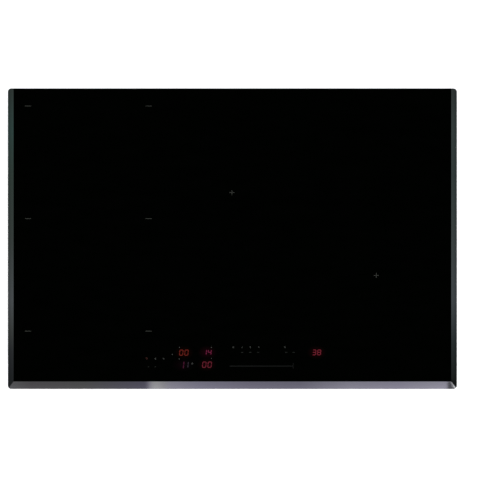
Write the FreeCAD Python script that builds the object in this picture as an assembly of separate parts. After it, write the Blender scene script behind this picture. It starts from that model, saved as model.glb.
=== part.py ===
"""Built-in electric induction cooktop with four coils, drawn as the assembly it is taken apart into.

Row frame: +X to the user's right, +Y to the back of the worktop, +Z up. The origin is the middle
of the casing's underside, so the cooktop stands on z = 0. Everything is in millimetres.
Heights are stacked from both ends: the glass, coils and support plate hang down from the top, and
the electronics stand on the casing floor.
"""

import FreeCAD
import Part

import os
from math import asin, atan2, cos, degrees, hypot, pi, radians, sin, tan

from FreeCAD import Vector

# ------------------------------------------------------------------ overall
GLASS_WIDTH = 780.0
GLASS_DEPTH = 522.0
OVERALL_HEIGHT = 56.0
TINY = 1e-6
RIGHT = Vector(1, 0, 0)
BACK = Vector(0, 1, 0)
UP = Vector(0, 0, 1)

# ------------------------------------------------------------------ glass panel and its seat
GLASS_THICKNESS = 4.0
GLASS_CORNER = 6.0
SIDE_FACET = 10.0  # width of the ground bevel along each side, seen from above
FRONT_FACET = 13.0  # the same along the front edge
EDGE_LAND = 1.5  # upright glass left under the bevels
EDGE_ARRIS = 0.4  # small chamfer that dulls the lower edge
GLASS_BOTTOM = OVERALL_HEIGHT - GLASS_THICKNESS
GLASS_OVERHANG_X = 20.0  # glass edge to casing wall, at the sides
GLASS_OVERHANG_Y = 21.5  # the same at the front and back
SEAL_WIDTH = 9.0
SEAL_THICKNESS = 2.5
SEAL_EDGE_GAP = 5.0  # glass edge to foam

# ------------------------------------------------------------------ casing
SHEET = 0.8
CASING_HALF_X = GLASS_WIDTH / 2 - GLASS_OVERHANG_X
CASING_HALF_Y = GLASS_DEPTH / 2 - GLASS_OVERHANG_Y
CASING_TOP_GAP = 1.0
CASING_TOP = GLASS_BOTTOM - CASING_TOP_GAP
CASING_CORNER = 6.0
CASING_FOLD = 2.4  # outer radius of the bend between floor and wall
BEAD_WIDTH = 14.0  # swaged stiffening beads in the floor
BEAD_DEPTH = 1.8
BEAD_END_MARGIN = 46.0
VENT_SLOT = 3.2
VENT_PITCH = 8.0

# ------------------------------------------------------------------ frame glued under the glass
GLUE_THICKNESS = 0.8
GLUE_WIDTH = 6.0
FRAME_SHEET = 1.0
FRAME_LEG = 10.0  # leg that lies under the glass
FRAME_DROP = 10.0  # leg that hangs inside the casing wall
FRAME_FIT = 0.2  # casing wall to frame
FRAME_TOP = GLASS_BOTTOM - GLUE_THICKNESS
FRAME_BOTTOM = FRAME_TOP - FRAME_SHEET - FRAME_DROP
FRAME_HALF_X = CASING_HALF_X - SHEET - FRAME_FIT
FRAME_HALF_Y = CASING_HALF_Y - SHEET - FRAME_FIT
FRAME_INNER_X = FRAME_HALF_X - FRAME_LEG
FRAME_INNER_Y = FRAME_HALF_Y - FRAME_LEG

# ------------------------------------------------------------------ screws
SCREW_SHANK = 1.7
SCREW_HEAD = 3.3
SCREW_HEAD_HEIGHT = 1.9
SCREW_LENGTH = 7.0
SCREW_RECESS_DEPTH = 1.1
SCREW_RECESS_SPAN = 3.6
SCREW_RECESS_SLOT = 0.8
SCREW_CLEARANCE = 0.3  # hole radius over shank radius, in the first sheet
PILOT_CLEARANCE = 0.05  # the same in the sheet or post that the thread bites
SCREW_X_NEAR = 105.0
SCREW_X_CORNER = 95.0  # casing corner to the outer screws
SCREW_Y_CORNER = 60.0
SCREW_HEIGHT = FRAME_BOTTOM + FRAME_DROP / 2

# ------------------------------------------------------------------ coils
MICA = 1.0
LITZ = 3.4
LITZ_PITCH = 4.0
FORMER_PLATE = 1.6
FERRITE = 4.0
FERRITE_WIDTH = 12.0
FERRITE_COUNT = 10
FERRITE_AIR = 1.9  # support plate to ferrite
FORMER_RIM = 1.6
FORMER_WALL = 1.5
RIM_TO_LITZ = 1.4
COIL_EYE = 24.0  # radius inside the first turn
COIL_EDGE_GAP = 1.5  # coil to the frame's flat leg
COIL_GAP = 6.4  # between the two coils of the joined zone
LARGE_COIL_RADIUS = 107.0
MIDDLE_COIL_RADIUS = 88.0
JOINED_COIL_HALF_X = 107.0
JOINED_COIL_HALF_Y = 94.5
JOINED_COIL_TRIM = 4.0  # what makes the joined coils' corners rounder than their sides
MIDDLE_COIL_BACK = 148.7  # frame's flat leg to the middle coil's centre
LARGE_COIL_BACK = 292.7  # the same for the large coil's centre
MICA_BOTTOM = GLASS_BOTTOM - MICA
LITZ_BOTTOM = MICA_BOTTOM - LITZ
FORMER_BOTTOM = LITZ_BOTTOM - FORMER_PLATE
PLATE = 1.2
PLATE_TOP = FORMER_BOTTOM - FERRITE - FERRITE_AIR
PLATE_BOTTOM = PLATE_TOP - PLATE

# name, centre x, centre y, half width, half depth, corner radius
JOINED_X = -(FRAME_INNER_X - COIL_EDGE_GAP - JOINED_COIL_HALF_X)
JOINED_REAR_Y = FRAME_INNER_Y - COIL_EDGE_GAP - JOINED_COIL_HALF_Y
JOINED_FRONT_Y = JOINED_REAR_Y - 2 * JOINED_COIL_HALF_Y - COIL_GAP
JOINED_CORNER = JOINED_COIL_HALF_Y - JOINED_COIL_TRIM
LARGE_X = FRAME_INNER_X - COIL_EDGE_GAP - LARGE_COIL_RADIUS
COILS = (
    ("rear_left", JOINED_X, JOINED_REAR_Y, JOINED_COIL_HALF_X, JOINED_COIL_HALF_Y, JOINED_CORNER),
    ("front_left", JOINED_X, JOINED_FRONT_Y, JOINED_COIL_HALF_X, JOINED_COIL_HALF_Y, JOINED_CORNER),
    ("middle", 0.0, FRAME_INNER_Y - MIDDLE_COIL_BACK)
    + (MIDDLE_COIL_RADIUS, MIDDLE_COIL_RADIUS, MIDDLE_COIL_RADIUS),
    ("right", LARGE_X, FRAME_INNER_Y - LARGE_COIL_BACK)
    + (LARGE_COIL_RADIUS, LARGE_COIL_RADIUS, LARGE_COIL_RADIUS),
)

# ------------------------------------------------------------------ temperature sensors
SENSOR_RADIUS = 7.5
SENSOR_FLANGE = 8.3
SENSOR_FLANGE_HEIGHT = 0.9
SENSOR_STEM = 3.0
SENSOR_GLASS_GAP = 0.1
SENSOR_BORE_GAP = 0.7  # flange to the former's hub
SENSOR_STEM_GAP = 0.4
SENSOR_STEM_REACH = 1.0  # how far the stem shows under the support plate
SPRING_WIRE = 0.8
SPRING_RADIUS = 5.2  # to the middle of the wire
SPRING_TURNS = 3.5
SPRING_HEIGHT = 6.6
HUB_BORE = SENSOR_FLANGE + SENSOR_BORE_GAP
SPRING_TOP = PLATE_TOP + SPRING_HEIGHT

# ------------------------------------------------------------------ support plate
PLATE_EDGE_GAP = 5.0  # plate edge to the frame's flat leg
PLATE_LIP = 2.0
PLATE_HALF_X = FRAME_INNER_X - PLATE_EDGE_GAP
PLATE_HALF_Y = FRAME_INNER_Y + PLATE_EDGE_GAP / 2
POST_RADIUS = 5.0
POST_FLANGE = 8.0
POST_FLANGE_HEIGHT = 2.0
LEAD_HOLE = 6.0
LEAD_SPREAD = 8.0  # between the two leads of a coil
LEAD_OFFSET = 18.0  # coil centre to the middle of its leads
LEAD_RADIUS = 1.6
LEAD_BEND = 2.2
LEAD_FORMER_FIT = 0.6
PEG_RADIUS = 2.0  # moulded pegs that locate parts in sheet metal
PEG_FIT = 0.15
PEG_SHORT = 0.2  # how far a peg stays inside the far face of the sheet
COLUMN_RADIUS = 4.0  # columns by which the support plate holds trays and fans down
COLUMN_SPREAD = 70.0  # tray centre to its columns

# ------------------------------------------------------------------ power modules
FLOOR = SHEET
BOARD = 1.6
BOARD_WIDTH = 200.0
BOARD_DEPTH = 240.0
TRAY_MARGIN = 4.0
TRAY_FLOOR = 2.0
TRAY_FOOT = 2.6
TRAY_RIM = 5.5
TRAY_WALL = 1.8
STANDOFF = 0.8
STANDOFF_RADIUS = 4.0
TRAY_BOTTOM = FLOOR + TRAY_FOOT
BOARD_BOTTOM = TRAY_BOTTOM + TRAY_FLOOR + STANDOFF
BOARD_TOP = BOARD_BOTTOM + BOARD
MODULES = (("left", JOINED_X), ("right", LARGE_X))  # each stands under the outer coils of its side
BOARD_SHIFT = 4.6  # middle of the joined front coil to the middle of the boards
BOARD_Y = JOINED_FRONT_Y - BOARD_SHIFT
TRANSISTOR = (16.0, 21.0, 5.0)
TRANSISTOR_COUNT = 5
SINK_BASE = 4.0
SINK_FIN = 1.6
SINK_FINS = 9
SINK_LENGTH = 150.0
SINK_TOP_GAP = 5.0  # under the support plate, room for a sensor stem
SINK_BOTTOM = BOARD_TOP + TRANSISTOR[2]
SINK_TOP = PLATE_BOTTOM - SINK_TOP_GAP
SINK_SCREW_SPREAD = 20.0  # sink's middle line to its screws
SINK_SCREW_END = 6.0  # sink's end to its screws
SINK_POST_RADIUS = 3.5
SINK_POST_FIT = 0.5  # to the hole in the board

# ------------------------------------------------------------------ fans
FAN_WALL = 1.6
FAN_TOP_GAP = 9.0  # fan to support plate
FAN_BOTTOM = FLOOR
FAN_TOP = PLATE_BOTTOM - FAN_TOP_GAP
IMPELLER_RADIUS = 40.0
SCROLL_GAP = 6.0  # impeller to the tightest part of the scroll
SCROLL_GROWTH = 5.0
SCROLL_OUTLET = 62.0
INLET_RADIUS = 34.0
BLADES = 26
BLADE_DEPTH = 9.0
BLADE_THICKNESS = 1.2
IMPELLER_FLOOR_GAP = 2.6
IMPELLER_ROOF_GAP = 3.0
IMPELLER_DISC = 1.4
CUP_RADIUS = 20.0
CUP_WALL = 1.5
MOTOR_GAP = 1.5
SHAFT_RADIUS = 1.5
SHAFT_FIT = 0.05
BOSS_RADIUS = 4.5
BOSS_HEIGHT = 4.0
CUP_DEPTH = 14.0
FAN_BOARD_GAP = 10.0  # fan outlet to the board
FAN_Y = BOARD_Y + BOARD_DEPTH / 2 + TRAY_MARGIN + FAN_BOARD_GAP + SCROLL_OUTLET
SCROLL_RADII = [IMPELLER_RADIUS + SCROLL_GAP + SCROLL_GROWTH * k for k in range(3)]
SINK_WIDTH = SCROLL_RADII[2] + SCROLL_GROWTH - 1.0
SINK_OFFSET = -SCROLL_GROWTH / 2 - SCROLL_RADII[2] + SINK_WIDTH / 2 + 0.5  # in line with the outlet
SINK_Y = BOARD_Y + BOARD_DEPTH / 2 - SINK_LENGTH / 2 - 6.0

# ------------------------------------------------------------------ mains filter board, in the middle
FILTER_WIDTH = 190.0
FILTER_DEPTH = 120.0
FILTER_REAR_GAP = 177.5  # casing rear wall to the middle of the filter board
FILTER_Y = CASING_HALF_Y - FILTER_REAR_GAP
CHOKE_CORE = 6.0
CHOKE_RADIUS = 15.0
CHOKE_WIRE = 0.8
CHOKE_TURNS = 12

# ------------------------------------------------------------------ touch control
PANEL_WIDTH = 336.0
PANEL_DEPTH = 47.0
PANEL_WALL = 1.5
PANEL_FLOOR = 1.5
PANEL_RIM_GAP = 2.0  # rim to glass
PANEL_LEFT_EDGE = 167.0  # glass centre to the carrier's left end
PANEL_FRONT_GAP = 33.5  # glass front edge to the carrier
PANEL_X = PANEL_WIDTH / 2 - PANEL_LEFT_EDGE
PANEL_Y = -GLASS_DEPTH / 2 + PANEL_FRONT_GAP + PANEL_DEPTH / 2
PANEL_BOARD_LIFT = 2.4
DIGIT_SIZE = (20.0, 12.0)
DIGIT_GAP = 0.6  # package to glass
# display centres, from the glass centre and from its front edge
DIGIT_PLACES = ((-84.5, 63.2), (-41.0, 63.2), (-84.5, 41.8), (-44.3, 41.8), (147.4, 63.0))
PAD_RADIUS = 3.0
# touch key centres, from the glass centre and from its front edge
PAD_PLACES = (
    [(-148.0 + 14.9 * k, 51.5) for k in range(3)]
    + [(1.7 + 14.9 * k, 71.8) for k in range(4)]
    + [(91.0, 71.8), (105.5, 63.0)]
    + [(2.0 + 15.0 * k, 38.5) for k in range(8)]
)
PANEL_BOARD_BOTTOM = PLATE_TOP + PANEL_FLOOR + PANEL_BOARD_LIFT
PANEL_BOARD_TOP = PANEL_BOARD_BOTTOM + BOARD

# ------------------------------------------------------------------ mains terminal box, in the rear wall
BOX_HALF_X = 58.0
BOX_DEPTH = 54.0
BOX_WALL = 2.0
BOX_BOTTOM_GAP = 3.2  # casing floor to box
BOX_TOP_GAP = 1.4  # box to support plate
BOX_FLANGE = 5.0  # flange above the box
BOX_FLANGE_LOW = 2.6  # flange below the box
BOX_FLANGE_SIDE = 11.0
BOX_FLANGE_THICKNESS = 1.6
BOX_FIT = 0.2
BOX_BOTTOM = FLOOR + BOX_BOTTOM_GAP
BOX_TOP = PLATE_BOTTOM - BOX_TOP_GAP
ROOM_BOTTOM = BOX_BOTTOM + BOX_WALL
ROOM_TOP = BOX_TOP - BOX_WALL
ENTRY_PANEL = 30.0  # the part of the box's rear that holds the cable entry
ENTRY_RIB = 4.0  # upright rib between the cable entry and the doorway
BUSH_BORE = 6.5
BUSH_NECK = 8.6
BUSH_FLANGE = 10.4
BUSH_FLANGE_THICKNESS = 1.8
BUSH_REACH = 5.0  # how far the sleeve goes on into the box
BUSH_FIT = 0.1
BLOCK_POLES = 5
POLE_PITCH = 13.0
BLOCK_DEPTH = 18.0
BLOCK_HEIGHT = 20.0
BLOCK_STOP = 1.6  # small ribs that keep the block against the box's front wall
BLOCK_STOP_HEIGHT = 3.0
POLE_BORE = 4.3
POLE_BORE_DEPTH = 7.0
POLE_HEAD = 3.5
POLE_HEAD_HEIGHT = 2.2
POLE_SHANK = 1.9
POLE_SHANK_FIT = 0.1
COVER = 2.0
COVER_FIT = 0.4  # cover to doorway, all round
COVER_LIP = 3.0
COVER_STOP = 3.0  # ledges in the doorway's lower corners that the cover closes against
COVER_STOP_GAP = 0.3
KNUCKLE = 2.6
PIN_RADIUS = 1.25
PIN_SEAT_FIT = 0.02
PIN_RUNNING_FIT = 0.05
BOX_FRONT = CASING_HALF_Y - BOX_DEPTH
BOX_REAR = CASING_HALF_Y + BOX_FLANGE_THICKNESS
DOOR_LEFT = -BOX_HALF_X + ENTRY_PANEL
DOOR_RIGHT = BOX_HALF_X - BOX_WALL
PIN_Y = BOX_REAR - KNUCKLE
PIN_Z = ROOM_TOP - COVER_FIT - KNUCKLE

# ------------------------------------------------------------------ springs that grip the worktop cut-out
GRIP_WIDTH = 24.0
GRIP_SHEET = 0.8
LEAF_SHEET = 0.7
GRIP_CORNER = 100.0  # casing corner to spring
EYE_RADIUS = 1.2
EYE_FIT = 0.05
EYE_HEIGHT = 9.0
CURL_END = 35.0  # degrees above the outward direction where the curl stops
GRIP_TOP = 25.0
GRIP_SCREW_HEIGHT = 19.0
LEAF_PEAK_HEIGHT = 31.0
LEAF_PEAK_REACH = 7.0  # casing wall to the leaf's outermost line
LEAF_TIP_HEIGHT = 36.5
LEAF_TIP_REACH = 3.4
LEAF_BEND = 2.0
LEAF_WINDOW = 5.4
WINDOW_MARGIN = 2.0
EYE_REACH = GRIP_SHEET + EYE_RADIUS + EYE_FIT  # casing wall to the hinge line

# ------------------------------------------------------------------ wiring inside the casing
MAINS_RADIUS = 1.4
MAINS_BEND = 2.6
MAINS_PLUG_HEIGHT = 6.0
RIBBON_WIDTH = 22.0
RIBBON_THICKNESS = 1.0
RIBBON_BEND = 6.0
RIBBON_HEIGHT = BOARD_TOP + 17.0
RIBBON_SLOT_MARGIN = 2.0


# ================================================================== shapes that are used over and over
def block(x0, x1, y0, y1, z0, z1):
    """A box from its six faces."""
    return Part.makeBox(x1 - x0, y1 - y0, z1 - z0, Vector(x0, y0, z0))


def centred_block(x, y, width, depth, z0, z1):
    """A box from its centre in plan."""
    return block(x - width / 2, x + width / 2, y - depth / 2, y + depth / 2, z0, z1)


def pillar(x, y, z0, z1, radius):
    """An upright cylinder."""
    return Part.makeCylinder(radius, z1 - z0, Vector(x, y, z0))


def ring(x, y, z0, z1, outer, inner):
    """An upright tube."""
    return pillar(x, y, z0, z1, outer).cut(pillar(x, y, z0, z1, inner))


def outline(x, y, z, half_x, half_y, corner):
    """A closed wire: a rectangle with round corners, which is a circle where the corners meet."""
    if max(half_x, half_y) - corner < TINY:
        return Part.Wire([Part.makeCircle(corner, Vector(x, y, z))])
    arcs = []
    quadrants = ((1, 1), (-1, 1), (-1, -1), (1, -1))
    for k, (side_x, side_y) in enumerate(quadrants):
        centre = Vector(x + side_x * (half_x - corner), y + side_y * (half_y - corner), z)
        arcs.append(Part.makeCircle(corner, centre, UP, 90 * k, 90 * k + 90))
    edges = []
    for arc, after in zip(arcs, arcs[1:] + arcs[:1]):
        edges.append(arc)
        start = arc.Vertexes[-1].Point
        end = after.Vertexes[0].Point
        if start.distanceToPoint(end) > TINY:
            edges.append(Part.makeLine(start, end))
    return Part.Wire(edges)


def prism(x, y, z0, z1, half_x, half_y, corner):
    """A block with round upright corners."""
    return Part.Face(outline(x, y, z0, half_x, half_y, corner)).extrude(UP * (z1 - z0))


def wall(x, y, z0, z1, half_x, half_y, corner, thickness):
    """A closed upright wall whose outside is a prism."""
    outside = prism(x, y, z0, z1, half_x, half_y, corner)
    inner_corner = max(corner - thickness, 0.2)
    return outside.cut(prism(x, y, z0, z1, half_x - thickness, half_y - thickness, inner_corner))


def slot(x, y, z0, z1, length, width, angle=0.0):
    """A round-ended cutter for a slotted hole, its length along X before it is turned."""
    if length - width < TINY:
        cutter = pillar(x, y, z0, z1, width / 2)
    else:
        cutter = prism(x, y, z0, z1, length / 2, width / 2, width / 2)
    if angle:
        cutter.rotate(Vector(x, y, 0), UP, angle)
    return cutter


def side_points(points, bend, shift):
    """One side of a strip bent along a line of points: pairs for straight runs, threes for arcs."""
    runs = []
    headings = []
    for (u0, v0), (u1, v1) in zip(points, points[1:]):
        length = hypot(u1 - u0, v1 - v0)
        headings.append(((u1 - u0) / length, (v1 - v0) / length))
    du, dv = headings[0]
    here = (points[0][0] - dv * shift, points[0][1] + du * shift)
    for (u, v), (au, av), (bu, bv) in zip(points[1:-1], headings, headings[1:]):
        turn = atan2(au * bv - av * bu, au * bu + av * bv)
        side = 1 if turn > 0 else -1
        trim = bend * tan(abs(turn) / 2)
        centre = (u - au * trim - av * bend * side, v - av * trim + au * bend * side)
        radius = bend - side * shift
        arc = []
        for share in (0.0, 0.5, 1.0):
            angle = atan2(av, au) + turn * share
            arc.append((centre[0] + sin(angle) * side * radius, centre[1] - cos(angle) * side * radius))
        runs.append((here, arc[0]))
        runs.append(tuple(arc))
        here = arc[2]
    du, dv = headings[-1]
    runs.append((here, (points[-1][0] - dv * shift, points[-1][1] + du * shift)))
    return runs


def strip(points, thickness, bend, place):
    """The cross-section of a bent strip as a face; place turns (u, v) into a Vector."""
    left = side_points(points, bend, thickness / 2)
    right = [tuple(reversed(run)) for run in reversed(side_points(points, bend, -thickness / 2))]
    edges = []
    for run in left + [(left[-1][-1], right[0][0])] + right + [(right[-1][-1], left[0][0])]:
        at = [place(u, v) for u, v in run]
        if at[0].distanceToPoint(at[-1]) < TINY:
            continue
        edges.append(Part.Arc(*at).toShape() if len(at) == 3 else Part.makeLine(*at))
    return Part.Face(Part.Wire(edges))


def tube(points, radius, bend):
    """A round wire or lead: straight runs joined by tangent arcs."""
    edges = []
    here = points[0]
    for before, corner, after in zip(points, points[1:], points[2:]):
        into = (corner - before).normalize()
        out = (after - corner).normalize()
        turn = into.getAngle(out)
        trim = bend * tan(turn / 2)
        start = corner - into * trim
        end = corner + out * trim
        toward = (out - into).normalize()
        centre = corner + toward * (bend / cos(turn / 2))
        middle = centre - toward * bend
        edges.append(Part.makeLine(here, start))
        edges.append(Part.Arc(start, middle, end).toShape())
        here = end
    edges.append(Part.makeLine(here, points[-1]))
    first = (points[1] - points[0]).normalize()
    section = Part.Wire([Part.makeCircle(radius, points[0], first)])
    return Part.Wire(edges).makePipeShell([section], True, False)


def facing(shape, direction, at):
    """A shape drawn along +Z, turned to a direction and moved to a place."""
    turned = shape.copy()
    turned.Placement = FreeCAD.Placement(at, FreeCAD.Rotation(UP, direction))
    return turned


def fuse(shapes):
    """One solid out of touching shapes, with the seams cleaned away."""
    joined = shapes[0].fuse(shapes[1:]) if len(shapes) > 1 else shapes[0]
    return joined.removeSplitter()


def pan_head_screw():
    """A pan-head tapping screw along +Z, the underside of its head at z = 0."""
    head = Part.makeCylinder(SCREW_HEAD, SCREW_HEAD_HEIGHT)
    head = head.makeFillet(SCREW_HEAD_HEIGHT * 0.55, [head.Edges[0]])
    shank = Part.makeCylinder(SCREW_SHANK, SCREW_LENGTH - 1.5, Vector(0, 0, -SCREW_LENGTH + 1.5))
    tip = Part.makeCone(0.4, SCREW_SHANK, 1.5, Vector(0, 0, -SCREW_LENGTH))
    recess_z = SCREW_HEAD_HEIGHT - SCREW_RECESS_DEPTH
    recess = [
        centred_block(0, 0, SCREW_RECESS_SPAN, SCREW_RECESS_SLOT, recess_z, SCREW_HEAD_HEIGHT + 1),
        centred_block(0, 0, SCREW_RECESS_SLOT, SCREW_RECESS_SPAN, recess_z, SCREW_HEAD_HEIGHT + 1),
    ]
    return fuse([head, shank, tip]).cut(recess)


# ================================================================== glass, seal and frame
def glass_panel():
    """Glass-ceramic plate: ground bevels on the front and sides, a plain ground edge at the back."""
    half_x = GLASS_WIDTH / 2
    half_y = GLASS_DEPTH / 2
    plate = prism(0, 0, GLASS_BOTTOM, OVERALL_HEIGHT, half_x, half_y, GLASS_CORNER)
    drop = GLASS_THICKNESS - EDGE_LAND
    reach = 4.0
    cutters = []
    for half, facet, along in ((half_x, SIDE_FACET, BACK), (half_y, FRONT_FACET, RIGHT)):
        slope = drop / facet
        corners = [
            (half - facet, OVERALL_HEIGHT),
            (half + reach, OVERALL_HEIGHT - slope * (facet + reach)),
            (half + reach, OVERALL_HEIGHT + reach),
            (half - facet, OVERALL_HEIGHT + reach),
        ]
        for side in (-1, 1):
            if along is RIGHT and side > 0:
                continue
            if along is BACK:
                points = [Vector(side * u, -GLASS_DEPTH, v) for u, v in corners]
                length = 2 * GLASS_DEPTH
            else:
                points = [Vector(-GLASS_WIDTH, side * u, v) for u, v in corners]
                length = 2 * GLASS_WIDTH
            face = Part.Face(Part.makePolygon(points + points[:1]))
            cutters.append(face.extrude(along * length))
    plate = plate.cut(cutters)
    lower = [e for e in plate.Edges if e.BoundBox.ZMax < GLASS_BOTTOM + TINY]
    return plate.makeChamfer(EDGE_ARRIS, lower)


def worktop_seal():
    """Self-adhesive foam under the glass rim, in four strips that butt at the corners."""
    outer_x = GLASS_WIDTH / 2 - SEAL_EDGE_GAP
    outer_y = GLASS_DEPTH / 2 - SEAL_EDGE_GAP
    z0 = GLASS_BOTTOM - SEAL_THICKNESS
    strips = []
    for side in (-1, 1):
        y = side * (outer_y - SEAL_WIDTH / 2)
        strips.append(centred_block(0, y, 2 * outer_x, SEAL_WIDTH, z0, GLASS_BOTTOM))
        x = side * (outer_x - SEAL_WIDTH / 2)
        strips.append(centred_block(x, 0, SEAL_WIDTH, 2 * (outer_y - SEAL_WIDTH), z0, GLASS_BOTTOM))
    return strips


def glue_line():
    """Silicone bead between the glass and the frame."""
    inset = (FRAME_LEG - GLUE_WIDTH) / 2
    half_x = FRAME_HALF_X - inset
    half_y = FRAME_HALF_Y - inset
    return wall(0, 0, FRAME_TOP, GLASS_BOTTOM, half_x, half_y, CASING_CORNER, GLUE_WIDTH)


def casing_screw_places():
    """Where the casing is screwed to the frame: a point on the casing wall and the outward way."""
    places = []
    outer_x = CASING_HALF_X - SCREW_X_CORNER
    for side in (-1, 1):
        for x in (-outer_x, -SCREW_X_NEAR, SCREW_X_NEAR, outer_x):
            places.append((Vector(x, side * CASING_HALF_Y, SCREW_HEIGHT), BACK * side))
        for y in (-1, 1):
            at = Vector(side * CASING_HALF_X, y * (CASING_HALF_Y - SCREW_Y_CORNER), SCREW_HEIGHT)
            places.append((at, RIGHT * side))
    return places


def screw_holes(places, radius, reach):
    """Cutters for screws, from a little outside the wall to reach inside it."""
    return [Part.makeCylinder(radius, reach + 2, at + out * 2, out * -1) for at, out in places]


def carrier_frame():
    """Folded steel frame glued under the glass; the casing is screwed to its hanging leg."""
    corner = CASING_CORNER - SHEET - FRAME_FIT
    z = FRAME_TOP - FRAME_SHEET
    flat = wall(0, 0, z, FRAME_TOP, FRAME_HALF_X, FRAME_HALF_Y, corner, FRAME_LEG)
    hanging = wall(0, 0, FRAME_BOTTOM, FRAME_TOP, FRAME_HALF_X, FRAME_HALF_Y, corner, FRAME_SHEET)
    frame = fuse([flat, hanging])
    radius = SCREW_SHANK + PILOT_CLEARANCE
    return frame.cut(screw_holes(casing_screw_places(), radius, SCREW_LENGTH))


# ================================================================== casing
def bead_cutters(y, grow):
    """A long swaged bead across the floor: part of a round bar with domed ends, grown by the sheet."""
    radius = (BEAD_DEPTH**2 + (BEAD_WIDTH / 2) ** 2) / (2 * BEAD_DEPTH)
    half = CASING_HALF_X - BEAD_END_MARGIN
    z = BEAD_DEPTH - radius
    bar = Part.makeCylinder(radius + grow, 2 * half, Vector(-half, y, z), RIGHT)
    ends = [Part.makeSphere(radius + grow, Vector(side * half, y, z)) for side in (-1, 1)]
    return bar.fuse(ends)


def fan_inlet_slots(x):
    """Slotted holes in the floor under a fan's mouth."""
    cutters = []
    count = int(INLET_RADIUS / VENT_PITCH)
    for k in range(-count, count + 1):
        offset = k * VENT_PITCH
        length = 2 * (INLET_RADIUS**2 - offset**2) ** 0.5 - VENT_SLOT
        cutters.append(slot(x, FAN_Y + offset, -1, SHEET + 1, length, VENT_SLOT))
    return cutters


def outlet_slots(x):
    """Upright slots in the front wall where a module's warm air leaves."""
    cutters = []
    count = int(BOARD_WIDTH / 2 / VENT_PITCH) - 1
    z0 = TRAY_BOTTOM + 4.0
    height = FRAME_BOTTOM - 4.0 - z0
    for k in range(-count, count + 1):
        centre = Vector(x + k * VENT_PITCH, -CASING_HALF_Y - 2, z0 + height / 2)
        cutter = slot(0, 0, 0, SHEET + 4, height, VENT_SLOT)
        cutter.rotate(Vector(0, 0, 0), UP, 90)
        cutter.rotate(Vector(0, 0, 0), RIGHT, -90)
        cutter.translate(centre)
        cutters.append(cutter)
    return cutters


def side_louvres(side):
    """A row of short upright slots in a side wall, over the electronics."""
    cutters = []
    for k in range(-6, 7):
        height = FRAME_BOTTOM - FLOOR - 16.0
        z = FLOOR + 8.0 + height / 2
        cutter = slot(0, 0, 0, SHEET + 4, height, VENT_SLOT)
        cutter.rotate(Vector(0, 0, 0), BACK, 90)
        start_x = CASING_HALF_X - SHEET - 2 if side > 0 else -CASING_HALF_X - 2
        cutter.translate(Vector(start_x, k * VENT_PITCH, z))
        cutters.append(cutter)
    return cutters


def grip_places():
    """The four gripping springs: name, side and place along the side wall."""
    y = CASING_HALF_Y - GRIP_CORNER
    return (
        ("front_left", -1, -y),
        ("rear_left", -1, y),
        ("front_right", 1, -y),
        ("rear_right", 1, y),
    )


def grip_screw_places():
    """Where the spring hooks are screwed to the side walls."""
    places = []
    for _, side, y in grip_places():
        places.append((Vector(side * (CASING_HALF_X + GRIP_SHEET), y, GRIP_SCREW_HEIGHT), RIGHT * side))
    return places


def box_screw_places():
    """Where the terminal box's flange is screwed to the rear wall."""
    x = BOX_HALF_X + BOX_FLANGE_SIDE / 2
    z = (BOX_BOTTOM + BOX_TOP) / 2
    return [(Vector(side * x, BOX_REAR, z), BACK) for side in (-1, 1)]


def floor_peg_places():
    """Where posts, trays and fans are located by pegs in the casing floor."""
    places = list(post_places())
    for x, y, width, depth in board_places():
        places += board_hole_places(x, y, width, depth)
    for _, x in MODULES:
        places += fan_column_places(x)
    return places


def floor_peg(x, y):
    """A moulded peg that stands in a hole of the casing floor."""
    return pillar(x, y, PEG_SHORT, FLOOR, PEG_RADIUS)


def plate_peg(x, y):
    """A moulded peg that stands in a hole of the support plate."""
    return pillar(x, y, PLATE_BOTTOM + PEG_SHORT, PLATE_TOP, PEG_RADIUS)


def bottom_casing():
    """Pressed and folded galvanised tray that closes the cooktop from below."""
    fold_edge = CASING_FOLD
    outside = prism(0, 0, 0, CASING_TOP, CASING_HALF_X, CASING_HALF_Y, CASING_CORNER)
    low = [e for e in outside.Edges if e.BoundBox.ZMax < TINY]
    outside = outside.makeFillet(fold_edge, low)
    inner_corner = CASING_CORNER - SHEET
    inside = prism(0, 0, SHEET, CASING_TOP + 5, CASING_HALF_X - SHEET, CASING_HALF_Y - SHEET, inner_corner)
    low = [e for e in inside.Edges if e.BoundBox.ZMax < SHEET + TINY]
    inside = inside.makeFillet(fold_edge - SHEET, low)
    bead_rows = (BOARD_Y - BOARD_DEPTH / 4, BOARD_Y + BOARD_DEPTH / 4)
    outside = outside.cut([bead_cutters(y, 0) for y in bead_rows])
    inside = inside.cut([bead_cutters(y, SHEET) for y in bead_rows])
    tray = outside.cut(inside)
    cutters = screw_holes(casing_screw_places(), SCREW_SHANK + SCREW_CLEARANCE, SHEET + 1)
    fixings = grip_screw_places() + box_screw_places()
    cutters += screw_holes(fixings, SCREW_SHANK + PILOT_CLEARANCE, SHEET + 4)
    for x, y in floor_peg_places():
        cutters.append(pillar(x, y, -1, SHEET + 1, PEG_RADIUS + PEG_FIT))
    for _, x in MODULES:
        cutters += fan_inlet_slots(x)
        cutters += outlet_slots(x)
    for side in (-1, 1):
        cutters += side_louvres(side)
    for _, side, y in grip_places():
        x0 = side * CASING_HALF_X - SHEET - 1
        window_low = LEAF_PEAK_HEIGHT + 1.0
        window_high = LEAF_TIP_HEIGHT + WINDOW_MARGIN
        width = GRIP_WIDTH + 2 * WINDOW_MARGIN
        cutters.append(block(x0, x0 + 2 * SHEET + 2, y - width / 2, y + width / 2, window_low, window_high))
    opening_x = BOX_HALF_X + BOX_FIT
    rear0 = CASING_HALF_Y - SHEET - 1
    cutters.append(
        block(-opening_x, opening_x, rear0, rear0 + SHEET + 3, BOX_BOTTOM - BOX_FIT, BOX_TOP + BOX_FIT)
    )
    return tray.cut(cutters)


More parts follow.
